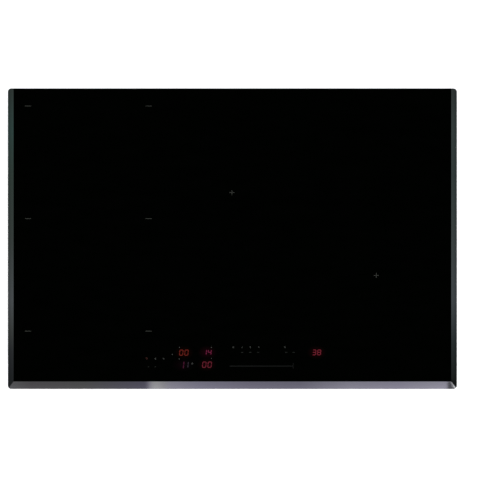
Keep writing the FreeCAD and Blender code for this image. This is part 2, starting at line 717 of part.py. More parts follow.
# ================================================================== support plate and posts
def post_places():
    """Posts stand clear of the coils above and of the modules below."""
    side_x = PLATE_HALF_X - 12.0
    front_y = -PLATE_HALF_Y + 22.0
    rear_y = PLATE_HALF_Y - 26.0
    places = []
    for side, (_, module_x) in zip((-1, 1), MODULES):
        inner_x = abs(module_x) - BOARD_WIDTH / 2 - 26.0
        places.append((side * side_x, front_y))
        places.append((side * (inner_x + 74.0), front_y))
        places.append((side * inner_x, rear_y))
        places.append((side * inner_x, FILTER_Y - FILTER_DEPTH / 2 - 50.0))
        places.append((side * side_x, rear_y))
    return places


def support_plate():
    """Folded aluminium plate that carries the coils and shields the electronics."""
    sheet = prism(0, 0, PLATE_BOTTOM, PLATE_TOP, PLATE_HALF_X, PLATE_HALF_Y, 3.0)
    lips = []
    for side in (-1, 1):
        x = side * (PLATE_HALF_X - PLATE / 2)
        lips.append(
            centred_block(x, 0, PLATE, 2 * PLATE_HALF_Y - 20, PLATE_TOP, PLATE_TOP + PLATE_LIP)
        )
        y = side * (PLATE_HALF_Y - PLATE / 2)
        lips.append(
            centred_block(0, y, 2 * PLATE_HALF_X - 20, PLATE, PLATE_TOP, PLATE_TOP + PLATE_LIP)
        )
    plate = fuse([sheet] + lips)
    z0 = PLATE_BOTTOM - 1
    z1 = PLATE_TOP + 1
    cutters = []
    for _, x, y, half_x, half_y, corner in COILS:
        cutters.append(pillar(x, y, z0, z1, SENSOR_STEM + SENSOR_STEM_GAP))
        cutters.append(slot(x + LEAD_OFFSET, y, z0, z1, LEAD_SPREAD + LEAD_HOLE, LEAD_HOLE))
    for x, y in plate_peg_places():
        cutters.append(pillar(x, y, z0, z1, PEG_RADIUS + PEG_FIT))
    for x, y in post_places():
        cutters.append(pillar(x, y, z0, z1, SCREW_SHANK + SCREW_CLEARANCE))
    slot_y = PANEL_Y
    cutters.append(
        centred_block(
            0, slot_y, RIBBON_WIDTH + 2 * RIBBON_SLOT_MARGIN, 2 * RIBBON_SLOT_MARGIN + 2, z0, z1
        )
    )
    return plate.cut(cutters)


def plate_peg_places():
    """Where the coils and the touch panel's carrier are located by pegs in the support plate."""
    places = [(PANEL_X + side * PANEL_WIDTH / 3, PANEL_Y) for side in (-1, 1)]
    for _, x, y, half_x, half_y, corner in COILS:
        places += foot_places(x, y, corner)[::2]
    return places


def plate_posts():
    """Moulded posts between the casing floor and the support plate."""
    posts = []
    for x, y in post_places():
        body = fuse(
            [
                pillar(x, y, FLOOR, PLATE_BOTTOM, POST_RADIUS),
                pillar(x, y, FLOOR, FLOOR + POST_FLANGE_HEIGHT, POST_FLANGE),
                floor_peg(x, y),
            ]
        )
        depth = SCREW_LENGTH + 1
        bore = pillar(x, y, PLATE_BOTTOM - depth, PLATE_BOTTOM + 1, SCREW_SHANK + PILOT_CLEARANCE)
        posts.append(body.cut(bore))
    return posts


# ================================================================== coils
def spiral_side(x, y, z, run_x, run_y, first_radius, quarters):
    """One edge of a flat spiral: quarter arcs that grow by a quarter of the pitch, and straight runs."""
    grow = LITZ_PITCH / 4
    travel = ((-1, 0), (0, -1), (1, 0), (0, 1))
    outward = ((0, 1), (-1, 0), (0, -1), (1, 0))
    centre_x = x + run_x / 2 - grow / 2
    centre_y = y + run_y / 2 + grow / 2
    edges = []
    for k in range(quarters):
        radius = first_radius + k * grow
        quarter = k % 4
        centre = Vector(centre_x, centre_y, z)
        edges.append(Part.makeCircle(radius, centre, UP, 90 * quarter, 90 * quarter + 90))
        go_x, go_y = travel[quarter]
        out_x, out_y = outward[quarter]
        run = run_x if go_x else run_y
        if run > TINY and k < quarters - 1:
            start = centre + Vector(out_x, out_y, 0) * radius
            edges.append(Part.makeLine(start, start + Vector(go_x, go_y, 0) * run))
        centre_x += go_x * run - grow * out_x
        centre_y += go_y * run - grow * out_y
    return edges


def winding_turns(corner):
    """How many quarter turns fit round the eye, and the radius of the first."""
    outer_radius = corner - FORMER_RIM - RIM_TO_LITZ - LITZ / 2
    quarters = 4 * int((outer_radius - COIL_EYE) / LITZ_PITCH)
    return quarters, outer_radius - (quarters - 1) * LITZ_PITCH / 4


def winding_ends(half_x, corner):
    """How far to the right of the coil's centre the winding starts and ends."""
    first = half_x - corner + winding_turns(corner)[1]
    last = half_x - FORMER_RIM - RIM_TO_LITZ - LITZ / 2
    return first, last


def coil_winding(x, y, half_x, half_y, corner):
    """Flat spiral of litz wire, from the eye out to just inside the former's rim."""
    quarters, first_radius = winding_turns(corner)
    run_x = 2 * (half_x - corner)
    run_y = 2 * (half_y - corner)
    inner = spiral_side(x, y, LITZ_BOTTOM, run_x, run_y, first_radius - LITZ / 2, quarters)
    outer = spiral_side(x, y, LITZ_BOTTOM, run_x, run_y, first_radius + LITZ / 2, quarters)
    start = Part.makeLine(inner[0].Vertexes[0].Point, outer[0].Vertexes[0].Point)
    end = Part.makeLine(inner[-1].Vertexes[-1].Point, outer[-1].Vertexes[-1].Point)
    boundary = Part.Wire(Part.__sortEdges__(inner + outer + [start, end]))
    return Part.Face(boundary).extrude(UP * LITZ)


def spokes(x, y, first, last, offset, make):
    """What make draws for one radial spoke, repeated round a coil."""
    shapes = []
    for k in range(FERRITE_COUNT):
        angle = 360.0 * (k + offset) / FERRITE_COUNT
        shape = make(x + (first + last) / 2, y, last - first)
        shape.rotate(Vector(x, y, 0), UP, angle)
        shapes.append(shape)
    return shapes


def ferrite_bars(x, y, corner):
    """Radial ferrite bars under a coil, which keep its field out of the electronics."""
    z1 = FORMER_BOTTOM
    return spokes(
        x,
        y,
        COIL_EYE + 4.0,
        corner - 10.0,
        0.5,
        lambda cx, cy, length: centred_block(cx, cy, length, FERRITE_WIDTH, z1 - FERRITE, z1),
    )


def foot_places(x, y, corner):
    """Where a former stands on the support plate: five feet on a circle."""
    radius = corner - 5.0
    angles = [radians(360.0 * (2 * k + 0.5) / FERRITE_COUNT) for k in range(FERRITE_COUNT // 2)]
    return [(x + radius * cos(angle), y + radius * sin(angle)) for angle in angles]


def coil_former(x, y, half_x, half_y, corner):
    """Moulded disc with a rim, a hub for the sensor, vent slots between the ferrites, and feet."""
    disc = prism(x, y, FORMER_BOTTOM, LITZ_BOTTOM, half_x, half_y, corner)
    rim = wall(x, y, FORMER_BOTTOM, MICA_BOTTOM - 0.4, half_x, half_y, corner, FORMER_RIM)
    hub = pillar(x, y, PLATE_TOP, MICA_BOTTOM - 0.4, HUB_BORE + FORMER_WALL)
    places = foot_places(x, y, corner)
    feet = [pillar(px, py, PLATE_TOP, FORMER_BOTTOM, 4.0) for px, py in places]
    pegs = [plate_peg(px, py) for px, py in places[::2]]
    body = fuse([disc, rim, hub] + feet + pegs)
    cutters = spokes(
        x,
        y,
        COIL_EYE + 16.0,
        corner - 22.0,
        0.0,
        lambda cx, cy, length: slot(cx, cy, FORMER_BOTTOM - 1, LITZ_BOTTOM + 1, length, 6.0),
    )
    radius = LEAD_RADIUS + LEAD_FORMER_FIT
    for offset in (LEAD_OFFSET - LEAD_SPREAD / 2, winding_ends(half_x, corner)[1]):
        cutters.append(pillar(x + offset, y, FORMER_BOTTOM - 1, LITZ_BOTTOM + 1, radius))
    cutters.append(pillar(x, y, PLATE_TOP - 1, MICA_BOTTOM + 1, HUB_BORE))
    return body.cut(cutters)


def mica_sheet(x, y, half_x, half_y, corner):
    """Insulating mica and fibre sheet between a coil and the glass, open over the sensor."""
    sheet = prism(x, y, MICA_BOTTOM, GLASS_BOTTOM, half_x, half_y, corner)
    return sheet.cut(pillar(x, y, MICA_BOTTOM - 1, GLASS_BOTTOM + 1, HUB_BORE))


def sensor(x, y):
    """Temperature sensor: a moulded cup that a spring holds up against the glass."""
    flange_z = SPRING_TOP
    top = GLASS_BOTTOM - SENSOR_GLASS_GAP
    cup = pillar(x, y, flange_z, top, SENSOR_RADIUS)
    cup = cup.makeChamfer(0.8, [e for e in cup.Edges if e.BoundBox.ZMin > top - TINY])
    flange = pillar(x, y, flange_z, flange_z + SENSOR_FLANGE_HEIGHT, SENSOR_FLANGE)
    stem = pillar(x, y, PLATE_BOTTOM - SENSOR_STEM_REACH, flange_z, SENSOR_STEM)
    return fuse([cup, flange, stem])


def sensor_spring(x, y):
    """Compression spring between the support plate and the sensor's flange."""
    wire = SPRING_WIRE / 2
    rise = (SPRING_HEIGHT - SPRING_WIRE) / SPRING_TURNS / (2 * pi)
    base = Vector(x, y, PLATE_TOP + wire)

    def on_helix(angle):
        return base + Vector(SPRING_RADIUS * cos(angle), SPRING_RADIUS * sin(angle), rise * angle)

    step = pi / 2
    edges = []
    for k in range(int(4 * SPRING_TURNS)):
        start = k * step
        arc = Part.Arc(on_helix(start), on_helix(start + step / 2), on_helix(start + step))
        edges.append(arc.toShape())
    along = Vector(0, SPRING_RADIUS, rise)
    section = Part.Wire([Part.makeCircle(wire, on_helix(0), along)])
    return Part.Wire(edges).makePipeShell([section], True, False)


# ================================================================== power modules
def board_places():
    """The circuit boards on the casing floor: centre, width and depth."""
    module_boards = [(x, BOARD_Y, BOARD_WIDTH, BOARD_DEPTH) for _, x in MODULES]
    return (*module_boards, (0, FILTER_Y, FILTER_WIDTH, FILTER_DEPTH))


def sink_screw_places(x):
    """The heat sink's four screws."""
    return [
        (x + SINK_OFFSET + sx * SINK_SCREW_SPREAD, SINK_Y + sy * (SINK_LENGTH / 2 - SINK_SCREW_END))
        for sx in (-1, 1)
        for sy in (-1, 1)
    ]


def board_hole_places(x, y, width, depth):
    """Mounting holes of a circuit board, near its corners and at the middle of its long sides."""
    return [
        (x + sx * (width / 2 - 7.0), y + sy * (depth / 2 - 7.0)) for sx in (-1, 1) for sy in (-1, 0, 1)
    ]


def board_tray(x, y, width, depth, sink_posts):
    """Moulded tray that holds a circuit board off the casing floor and is held down by columns."""
    half_x = width / 2 + TRAY_MARGIN
    half_y = depth / 2 + TRAY_MARGIN
    top = TRAY_BOTTOM + TRAY_FLOOR
    floor = prism(x, y, TRAY_BOTTOM, top, half_x, half_y, 3.0)
    rim = wall(x, y, TRAY_BOTTOM, top + TRAY_RIM, half_x, half_y, 3.0, TRAY_WALL)
    pieces = [floor, rim]
    for px, py in board_hole_places(x, y, width, depth):
        pieces.append(pillar(px, py, FLOOR, TRAY_BOTTOM, STANDOFF_RADIUS))
        pieces.append(pillar(px, py, top, BOARD_BOTTOM, STANDOFF_RADIUS))
        pieces.append(floor_peg(px, py))
    spread = min(COLUMN_SPREAD, width / 2 - 30.0)
    for side_x in (-1, 1):
        for side_y in (-1, 1):
            column_y = y + side_y * (half_y + COLUMN_RADIUS / 2)
            pieces.append(pillar(x + side_x * spread, column_y, TRAY_BOTTOM, PLATE_BOTTOM, COLUMN_RADIUS))
    for px, py in sink_posts:
        pieces.append(pillar(px, py, top, SINK_BOTTOM, SINK_POST_RADIUS))
    pilots = [
        pillar(px, py, TRAY_BOTTOM + 1, SINK_BOTTOM + 1, SCREW_SHANK + PILOT_CLEARANCE)
        for px, py in sink_posts
    ]
    tray = fuse(pieces)
    return tray.cut(pilots) if pilots else tray


def circuit_board(x, y, width, depth, sink_posts):
    """Glass-fibre circuit board with its mounting holes."""
    board = prism(x, y, BOARD_BOTTOM, BOARD_TOP, width / 2, depth / 2, 2.0)
    radius = SINK_POST_RADIUS + SINK_POST_FIT
    holes = [pillar(px, py, BOARD_BOTTOM - 1, BOARD_TOP + 1, radius) for px, py in sink_posts]
    for px, py in board_hole_places(x, y, width, depth):
        holes.append(pillar(px, py, BOARD_BOTTOM - 1, BOARD_TOP + 1, 1.6))
    return board.cut(holes)


def heat_sink(x):
    """Extruded aluminium comb over the power transistors, in the fan's air stream."""
    left = x + SINK_OFFSET - SINK_WIDTH / 2
    y0 = SINK_Y - SINK_LENGTH / 2
    y1 = SINK_Y + SINK_LENGTH / 2
    pieces = [block(left, left + SINK_WIDTH, y0, y1, SINK_BOTTOM, SINK_BOTTOM + SINK_BASE)]
    pitch = (SINK_WIDTH - SINK_FIN) / (SINK_FINS - 1)
    for k in range(SINK_FINS):
        fin = left + k * pitch
        pieces.append(block(fin, fin + SINK_FIN, y0, y1, SINK_BOTTOM + SINK_BASE, SINK_TOP))
    cutters = []
    for px, py in sink_screw_places(x):
        cutters.append(pillar(px, py, SINK_BOTTOM - 1, SINK_TOP, SCREW_SHANK + SCREW_CLEARANCE))
        cutters.append(pillar(px, py, SINK_BOTTOM + SINK_BASE, SINK_TOP + 1, SCREW_HEAD + 1.0))
    return fuse(pieces).cut(cutters)


def power_transistors(x):
    """Flat transistor packages between the board and the heat sink."""
    width, depth, height = TRANSISTOR
    pitch = (SINK_LENGTH - 12.0) / TRANSISTOR_COUNT
    packages = []
    for k in range(TRANSISTOR_COUNT):
        y = SINK_Y + (k - (TRANSISTOR_COUNT - 1) / 2) * pitch
        body = centred_block(x + SINK_OFFSET, y, width, depth, BOARD_TOP, BOARD_TOP + height)
        leads = []
        for n in (-1, 0, 1):
            lead_x = x + SINK_OFFSET + n * 5.4
            lead_y = y - depth / 2
            leads.append(block(lead_x - 0.6, lead_x + 0.6, lead_y - 3, lead_y, BOARD_TOP, BOARD_TOP + 2))
        packages.append(fuse([body] + leads))
    return packages


def capacitor(x, y, width, depth, height):
    """A boxed film capacitor."""
    body = centred_block(x, y, width, depth, BOARD_TOP, BOARD_TOP + height)
    upright = [e for e in body.Edges if abs(e.BoundBox.ZLength - height) < TINY]
    return body.makeFillet(1.2, upright)


def film_capacitors():
    """Resonance and smoothing capacitors of both modules, and those of the mains filter."""
    shapes = []
    for _, x in MODULES:
        column = x + BOARD_WIDTH / 2 - 24.0
        for k in range(4):
            y = BOARD_Y - BOARD_DEPTH / 2 + 30.0 + 24.0 * k
            shapes.append(capacitor(column, y, 32.0, 14.0, 20.0))
        shapes.append(capacitor(column, BOARD_Y + BOARD_DEPTH / 2 - 60.0, 32.0, 42.0, 23.0))
    for k in (-1, 1):
        shapes.append(capacitor(k * 20.0 + 42.0, FILTER_Y - 36.0, 26.0, 12.0, 19.0))
    return shapes


def choke(x, y):
    """Toroid choke lying on the board: a round core inside separate turns of enamelled wire."""
    turn = CHOKE_CORE + CHOKE_WIRE + 0.2
    z = BOARD_TOP + turn + CHOKE_WIRE + 0.2
    shapes = [Part.makeTorus(CHOKE_RADIUS, CHOKE_CORE, Vector(x, y, z))]
    for k in range(CHOKE_TURNS):
        angle = 2 * pi * (k + 0.5) / CHOKE_TURNS
        at = Vector(x + CHOKE_RADIUS * cos(angle), y + CHOKE_RADIUS * sin(angle), z)
        shapes.append(Part.makeTorus(turn, CHOKE_WIRE, at, Vector(-sin(angle), cos(angle), 0)))
    return shapes


def filter_chokes():
    """One choke on each module and two on the filter board."""
    shapes = []
    for _, x in MODULES:
        shapes += choke(x + BOARD_WIDTH / 2 - 28.0, BOARD_Y + 16.0)
    for k in (-1, 1):
        shapes += choke(-46.0 + k * 24.0, FILTER_Y - 10.0)
    return shapes


def plug_housing(x, y, width, depth, height):
    """An open-topped connector housing."""
    shell = centred_block(x, y, width, depth, BOARD_TOP, BOARD_TOP + height)
    return shell.cut(centred_block(x, y, width - 2.4, depth - 2.4, BOARD_TOP + 2.0, BOARD_TOP + height + 1))


def lead_routes(name, x, y):
    """Plan of a coil's two leads, from under its eye to the socket on a board."""
    inner = x + LEAD_OFFSET - LEAD_SPREAD / 2
    outer = x + LEAD_OFFSET + LEAD_SPREAD / 2
    board_rear = BOARD_Y + BOARD_DEPTH / 2
    if name == "middle":
        turn = y - 14.0
        end_x = LARGE_X - BOARD_WIDTH / 2 + 14.0
        end_y = board_rear - 20.0
        return (
            [(inner, y), (inner, turn - LEAD_SPREAD), (end_x - LEAD_SPREAD / 2, turn - LEAD_SPREAD)]
            + [(end_x - LEAD_SPREAD / 2, end_y)],
            [(outer, y), (outer, turn), (end_x + LEAD_SPREAD / 2, turn), (end_x + LEAD_SPREAD / 2, end_y)],
        )
    end_y = min(y - 25.0, board_rear - 15.0)
    return [(inner, y), (inner, end_y)], [(outer, y), (outer, end_y)]


def mains_plug_y():
    """Where the mains wires meet the filter board."""
    return FILTER_Y + FILTER_DEPTH / 2 - 9.0


def ribbon_socket_y():
    """Where the touch panel's ribbon meets the filter board."""
    return FILTER_Y - FILTER_DEPTH / 2 + 8.0


def board_connectors():
    """Sockets for the coil leads, the touch panel's ribbon and the mains wires."""
    shapes = []
    for name, x, y, *_ in COILS:
        first, second = lead_routes(name, x, y)
        middle = (first[-1][0] + second[-1][0]) / 2
        shapes.append(plug_housing(middle, first[-1][1], LEAD_SPREAD + 12.0, 10.0, 9.0))
    shapes.append(plug_housing(0, ribbon_socket_y(), RIBBON_WIDTH + 5.0, 8.0, 9.0))
    poles = pole_places()
    middle = (poles[0][0] + poles[-1][0]) / 2
    width = BLOCK_POLES * POLE_PITCH + 4.0
    shapes.append(plug_housing(middle, mains_plug_y(), width, 10.0, MAINS_PLUG_HEIGHT))
    for _, x in MODULES:
        plug_x = x - BOARD_WIDTH / 2 + 30.0
        plug_y = BOARD_Y - BOARD_DEPTH / 2 + 60.0
        shapes.append(plug_housing(plug_x, plug_y, 10.0, 24.0, 9.0))
    return shapes


# ================================================================== fans
def scroll_outline(x, y, z, grow, reach):
    """The scroll's plan: three growing quarter arcs, then a straight duct that runs to the front."""
    half = SCROLL_GROWTH / 2
    tongue = 270 + degrees(asin(grow / (SCROLL_RADII[0] + grow)))
    centres = ((half, half), (-half, half), (-half, -half))
    spans = ((tongue, 360), (0, 90), (90, 180))
    edges = []
    for (cx, cy), radius, (start, end) in zip(centres, SCROLL_RADII, spans):
        edges.append(Part.makeCircle(radius + grow, Vector(x + cx, y + cy, z), UP, start, end))
    first = edges[0].Vertexes[0].Point
    last = edges[2].Vertexes[-1].Point
    outer_corner = Vector(last.x, y - reach, z)
    inner_corner = Vector(first.x, y - reach, z)
    edges.append(Part.makeLine(last, outer_corner))
    edges.append(Part.makeLine(outer_corner, inner_corner))
    edges.append(Part.makeLine(inner_corner, first))
    return Part.Wire(edges)


def fan_column_places(x):
    """Three places round the fan where it is located in the floor and held down by the plate."""
    radius = INLET_RADIUS + 6.5
    angles = [radians(angle) for angle in (30, 150, 270)]
    return [(x + radius * cos(angle), FAN_Y + radius * sin(angle)) for angle in angles]


def fan_housing(x):
    """Moulded scroll: open below at the inlet and in front at the outlet, closed above."""
    outside = scroll_outline(x, FAN_Y, FAN_BOTTOM, FAN_WALL, SCROLL_OUTLET)
    shell = Part.Face(outside).extrude(UP * (FAN_TOP - FAN_BOTTOM))
    floor = FAN_BOTTOM + FAN_WALL
    inside = scroll_outline(x, FAN_Y, floor, 0.0, SCROLL_OUTLET + 5.0)
    hollow = Part.Face(inside).extrude(UP * (FAN_TOP - FAN_WALL - floor))
    inlet = pillar(x, FAN_Y, FAN_BOTTOM - 1, floor + 1, INLET_RADIUS)
    extras = []
    for px, py in fan_column_places(x):
        extras.append(floor_peg(px, py))
        extras.append(pillar(px, py, FAN_TOP, PLATE_BOTTOM, COLUMN_RADIUS))
    return fuse([shell.cut([hollow, inlet])] + extras)


def impeller_levels():
    """Heights of the impeller's lower ring, of its disc and of the floor of its cup."""
    low = FAN_BOTTOM + FAN_WALL + IMPELLER_FLOOR_GAP
    high = FAN_TOP - FAN_WALL - IMPELLER_ROOF_GAP
    return low, high, high - CUP_DEPTH


def fan_motor(x):
    """Motor body on the housing's roof, with the shaft that carries the impeller."""
    low, high, cup = impeller_levels()
    radius = CUP_RADIUS - CUP_WALL - MOTOR_GAP
    body = pillar(x, FAN_Y, cup + CUP_WALL + MOTOR_GAP, FAN_TOP - FAN_WALL, radius)
    shaft = pillar(x, FAN_Y, cup - BOSS_HEIGHT - 0.8, cup + CUP_WALL + MOTOR_GAP, SHAFT_RADIUS)
    return fuse([body, shaft])


def fan_impeller(x):
    """Blower wheel: curved blades between a disc and a lower ring, round a cup over the motor."""
    low, high, cup = impeller_levels()
    disc = ring(x, FAN_Y, high - IMPELLER_DISC, high, IMPELLER_RADIUS, CUP_RADIUS - CUP_WALL)
    side = ring(x, FAN_Y, cup, high, CUP_RADIUS, CUP_RADIUS - CUP_WALL)
    floor = pillar(x, FAN_Y, cup, cup + CUP_WALL, CUP_RADIUS)
    boss = pillar(x, FAN_Y, cup - BOSS_HEIGHT, cup, BOSS_RADIUS)
    shroud = ring(x, FAN_Y, low, low + IMPELLER_DISC, IMPELLER_RADIUS, IMPELLER_RADIUS - BLADE_DEPTH)
    blade = blade_shape(x, low + IMPELLER_DISC / 2, high - IMPELLER_DISC / 2)
    blades = []
    for k in range(BLADES):
        copy = blade.copy()
        copy.rotate(Vector(x, FAN_Y, 0), UP, 360.0 * k / BLADES)
        blades.append(copy)
    wheel = fuse([disc, side, floor, boss, shroud] + blades)
    return wheel.cut(pillar(x, FAN_Y, cup - BOSS_HEIGHT - 1, cup + CUP_WALL + 1, SHAFT_RADIUS + SHAFT_FIT))


def blade_shape(x, z0, z1):
    """One curved blade: an arc of constant thickness from the ring's inner to its outer edge."""
    inner = IMPELLER_RADIUS - BLADE_DEPTH + 0.3
    outer = IMPELLER_RADIUS - 0.3
    bow = 0.10
    points = []
    for radius, angle in ((inner, 0.0), ((inner + outer) / 2, -bow), (outer, 0.0)):
        points.append((radius * cos(angle), radius * sin(angle)))
    half = BLADE_THICKNESS / 2
    rims = []
    for shift in (-half, half):
        rims.append([Vector(x + u, FAN_Y + v + shift, z0) for u, v in points])
    edges = [
        Part.Arc(*rims[0]).toShape(),
        Part.makeLine(rims[0][2], rims[1][2]),
        Part.Arc(*rims[1]).toShape(),
        Part.makeLine(rims[1][0], rims[0][0]),
    ]
    return Part.Face(Part.Wire(Part.__sortEdges__(edges))).extrude(UP * (z1 - z0))


# ================================================================== touch control
def on_glass(place):
    """A place given from the glass centre and the front edge, as x and y."""
    return place[0], -GLASS_DEPTH / 2 + place[1]


def panel_carrier():
    """Moulded tray under the glass that holds the touch board up."""
    half_x = PANEL_WIDTH / 2
    half_y = PANEL_DEPTH / 2
    top = GLASS_BOTTOM - PANEL_RIM_GAP
    floor = prism(PANEL_X, PANEL_Y, PLATE_TOP, PLATE_TOP + PANEL_FLOOR, half_x, half_y, 3.0)
    rim = wall(PANEL_X, PANEL_Y, PLATE_TOP, top, half_x, half_y, 3.0, PANEL_WALL)
    pieces = [floor, rim]
    for side_x in (-1, -0.34, 0.34, 1):
        for side_y in (-1, 1):
            x = PANEL_X + side_x * (half_x - 8.0)
            y = PANEL_Y + side_y * (half_y - 7.0)
            pieces.append(pillar(x, y, PLATE_TOP + PANEL_FLOOR, PANEL_BOARD_BOTTOM, 3.0))
    for side in (-1, 1):
        pieces.append(plate_peg(PANEL_X + side * PANEL_WIDTH / 3, PANEL_Y))
    slot_cut = centred_block(
        0,
        PANEL_Y,
        RIBBON_WIDTH + 2 * RIBBON_SLOT_MARGIN,
        2 * RIBBON_SLOT_MARGIN + 2,
        PLATE_TOP - 1,
        PLATE_TOP + PANEL_FLOOR + 1,
    )
    return fuse(pieces).cut(slot_cut)


def touch_board():
    """Circuit board of the touch control."""
    margin = PANEL_WALL + 0.5
    half_x = PANEL_WIDTH / 2 - margin
    half_y = PANEL_DEPTH / 2 - margin
    return prism(PANEL_X, PANEL_Y, PANEL_BOARD_BOTTOM, PANEL_BOARD_TOP, half_x, half_y, 1.5)


def digit_displays():
    """Two-digit seven-segment modules under the glass."""
    shapes = []
    for place in DIGIT_PLACES:
        x, y = on_glass(place)
        top = GLASS_BOTTOM - DIGIT_GAP
        shapes.append(centred_block(x, y, DIGIT_SIZE[0], DIGIT_SIZE[1], PANEL_BOARD_TOP, top))
    return shapes


def touch_pads():
    """Conductive foam pads that join the board's touch areas to the glass."""
    return [pillar(*on_glass(place), PANEL_BOARD_TOP, GLASS_BOTTOM, PAD_RADIUS) for place in PAD_PLACES]


# ================================================================== mains terminal box
def entry_place():
    """Centre of the cable entry, in the fixed part of the box's rear."""
    return (-BOX_HALF_X + DOOR_LEFT - ENTRY_RIB) / 2, (BOX_BOTTOM + BOX_TOP) / 2


def hinge_bar(radius, x0, x1):
    """A cylinder on the cover's hinge line."""
    return Part.makeCylinder(radius, x1 - x0, Vector(x0, PIN_Y, PIN_Z), RIGHT)


def terminal_box():
    """Moulded box in the rear wall: a flange outside, a doorway, and a plain part for the cable."""
    shell = block(-BOX_HALF_X, BOX_HALF_X, BOX_FRONT, CASING_HALF_Y, BOX_BOTTOM, BOX_TOP)
    half = BOX_HALF_X + BOX_FLANGE_SIDE
    low = BOX_BOTTOM - BOX_FLANGE_LOW
    flange = block(-half, half, CASING_HALF_Y, BOX_REAR, low, BOX_TOP + BOX_FLANGE)
    upright = [e for e in flange.Edges if e.BoundBox.YLength > BOX_FLANGE_THICKNESS - TINY]
    upright = [e for e in upright if e.BoundBox.XLength < TINY and e.BoundBox.ZLength < TINY]
    flange = flange.makeFillet(2.5, upright)
    inside_x = BOX_HALF_X - BOX_WALL
    inside_rear = CASING_HALF_Y - BOX_WALL
    room = block(-inside_x, inside_x, BOX_FRONT + BOX_WALL, inside_rear, ROOM_BOTTOM, ROOM_TOP)
    doorway = block(DOOR_LEFT, DOOR_RIGHT, inside_rear - 1, BOX_REAR + 1, ROOM_BOTTOM, ROOM_TOP)
    rib = block(DOOR_LEFT - ENTRY_RIB, DOOR_LEFT, PIN_Y - KNUCKLE - 1, inside_rear, ROOM_BOTTOM, ROOM_TOP)
    places = pole_places()
    stops = []
    for x, _ in (places[0], places[-1]):
        y = block_rear()
        stops.append(block(x - 3, x + 3, y, y + BLOCK_STOP, ROOM_BOTTOM, ROOM_BOTTOM + BLOCK_STOP_HEIGHT))
    ledge_y = BOX_REAR - COVER - COVER_LIP - COVER_STOP_GAP
    for x in (DOOR_LEFT, DOOR_RIGHT - COVER_STOP):
        stops.append(block(x, x + COVER_STOP, ledge_y - 3.0, ledge_y, ROOM_BOTTOM, ROOM_BOTTOM + 5.0))
    body = fuse([fuse([shell, flange]).cut([room, doorway]), rib] + stops)
    x, z = entry_place()
    depth = BOX_WALL + BOX_FLANGE_THICKNESS + 4
    entry_start = Vector(x, inside_rear - 2, z)
    cutters = [
        Part.makeCylinder(BUSH_NECK + BUSH_FIT, depth, entry_start, BACK),
        hinge_bar(PIN_RADIUS + PIN_SEAT_FIT, DOOR_LEFT - ENTRY_RIB, BOX_HALF_X + 1),
    ]
    for x, z in places:
        start = Vector(x, BOX_FRONT - 1, z)
        cutters.append(Part.makeCylinder(MAINS_RADIUS + 0.3, BOX_WALL + 2, start, BACK))
    radius = SCREW_SHANK + SCREW_CLEARANCE
    cutters += screw_holes(box_screw_places(), radius, BOX_FLANGE_THICKNESS + 1)
    return body.cut(cutters)


def cable_bushing():
    """Round sleeve in the box's rear that lines the cable entry."""
    x, z = entry_place()
    start = CASING_HALF_Y - BOX_WALL - BUSH_REACH
    length = BOX_REAR + BUSH_FLANGE_THICKNESS - start
    neck = Part.makeCylinder(BUSH_NECK, length, Vector(x, start, z), BACK)
    flange = Part.makeCylinder(BUSH_FLANGE, BUSH_FLANGE_THICKNESS, Vector(x, BOX_REAR, z), BACK)
    bore = Part.makeCylinder(BUSH_BORE, length + 2, Vector(x, start - 1, z), BACK)
    return fuse([neck, flange]).cut(bore)


def pole_places():
    """The terminal block's poles, along the box."""
    middle = (DOOR_LEFT + BOX_HALF_X) / 2
    z = ROOM_BOTTOM + BLOCK_HEIGHT / 2
    return [(middle + (k - (BLOCK_POLES - 1) / 2) * POLE_PITCH, z) for k in range(BLOCK_POLES)]


def block_rear():
    """The terminal block's face that looks at the doorway."""
    return BOX_FRONT + BOX_WALL + BLOCK_DEPTH


def terminal_block():
    """Moulded block with a screw well for each mains conductor."""
    places = pole_places()
    x0 = places[0][0] - POLE_PITCH / 2
    x1 = places[-1][0] + POLE_PITCH / 2
    rear = block_rear()
    top = ROOM_BOTTOM + BLOCK_HEIGHT
    body = block(x0, x1, rear - BLOCK_DEPTH, rear, ROOM_BOTTOM, top)
    cutters = []
    for x, z in places:
        well = Vector(x, rear - POLE_BORE_DEPTH, z)
        cutters.append(Part.makeCylinder(POLE_BORE, POLE_BORE_DEPTH + 1, well, BACK))
        depth = POLE_BORE_DEPTH + 6.0
        thread = Vector(x, rear - depth, z)
        cutters.append(Part.makeCylinder(POLE_SHANK + POLE_SHANK_FIT, depth, thread, BACK))
    for (x, _), (after, _) in zip(places, places[1:]):
        groove = (x + after) / 2
        cutters.append(block(groove - 0.6, groove + 0.6, rear - 3.0, rear + 1, ROOM_BOTTOM + 4, top + 1))
    return body.cut(cutters)


def terminal_screws():
    """Clamping screws of the terminal block."""
    screws = []
    rear = block_rear() - POLE_BORE_DEPTH
    for x, z in pole_places():
        head = Part.makeCylinder(POLE_HEAD, POLE_HEAD_HEIGHT, Vector(x, rear, z), BACK)
        shank = Part.makeCylinder(POLE_SHANK, 5.0, Vector(x, rear - 5.0, z), BACK)
        groove = rear + POLE_HEAD_HEIGHT - 1
        driver = block(x - POLE_HEAD, x + POLE_HEAD, groove, rear + 5, z - 0.5, z + 0.5)
        screws.append(fuse([head, shank]).cut(driver))
    return screws


def terminal_cover():
    """Flap in the box's doorway, hung from a pin along its upper edge."""
    left = DOOR_LEFT + COVER_FIT
    right = DOOR_RIGHT - COVER_FIT
    bottom = ROOM_BOTTOM + COVER_FIT
    inner = BOX_REAR - COVER
    panel = block(left, right, inner, BOX_REAR, bottom, PIN_Z)
    lip = block(left, right, inner - COVER_LIP, inner, bottom, bottom + 2.0)
    barrel = hinge_bar(KNUCKLE, left, right)
    return fuse([panel, lip, barrel]).cut(hinge_bar(PIN_RADIUS + PIN_RUNNING_FIT, left - 1, right + 1))


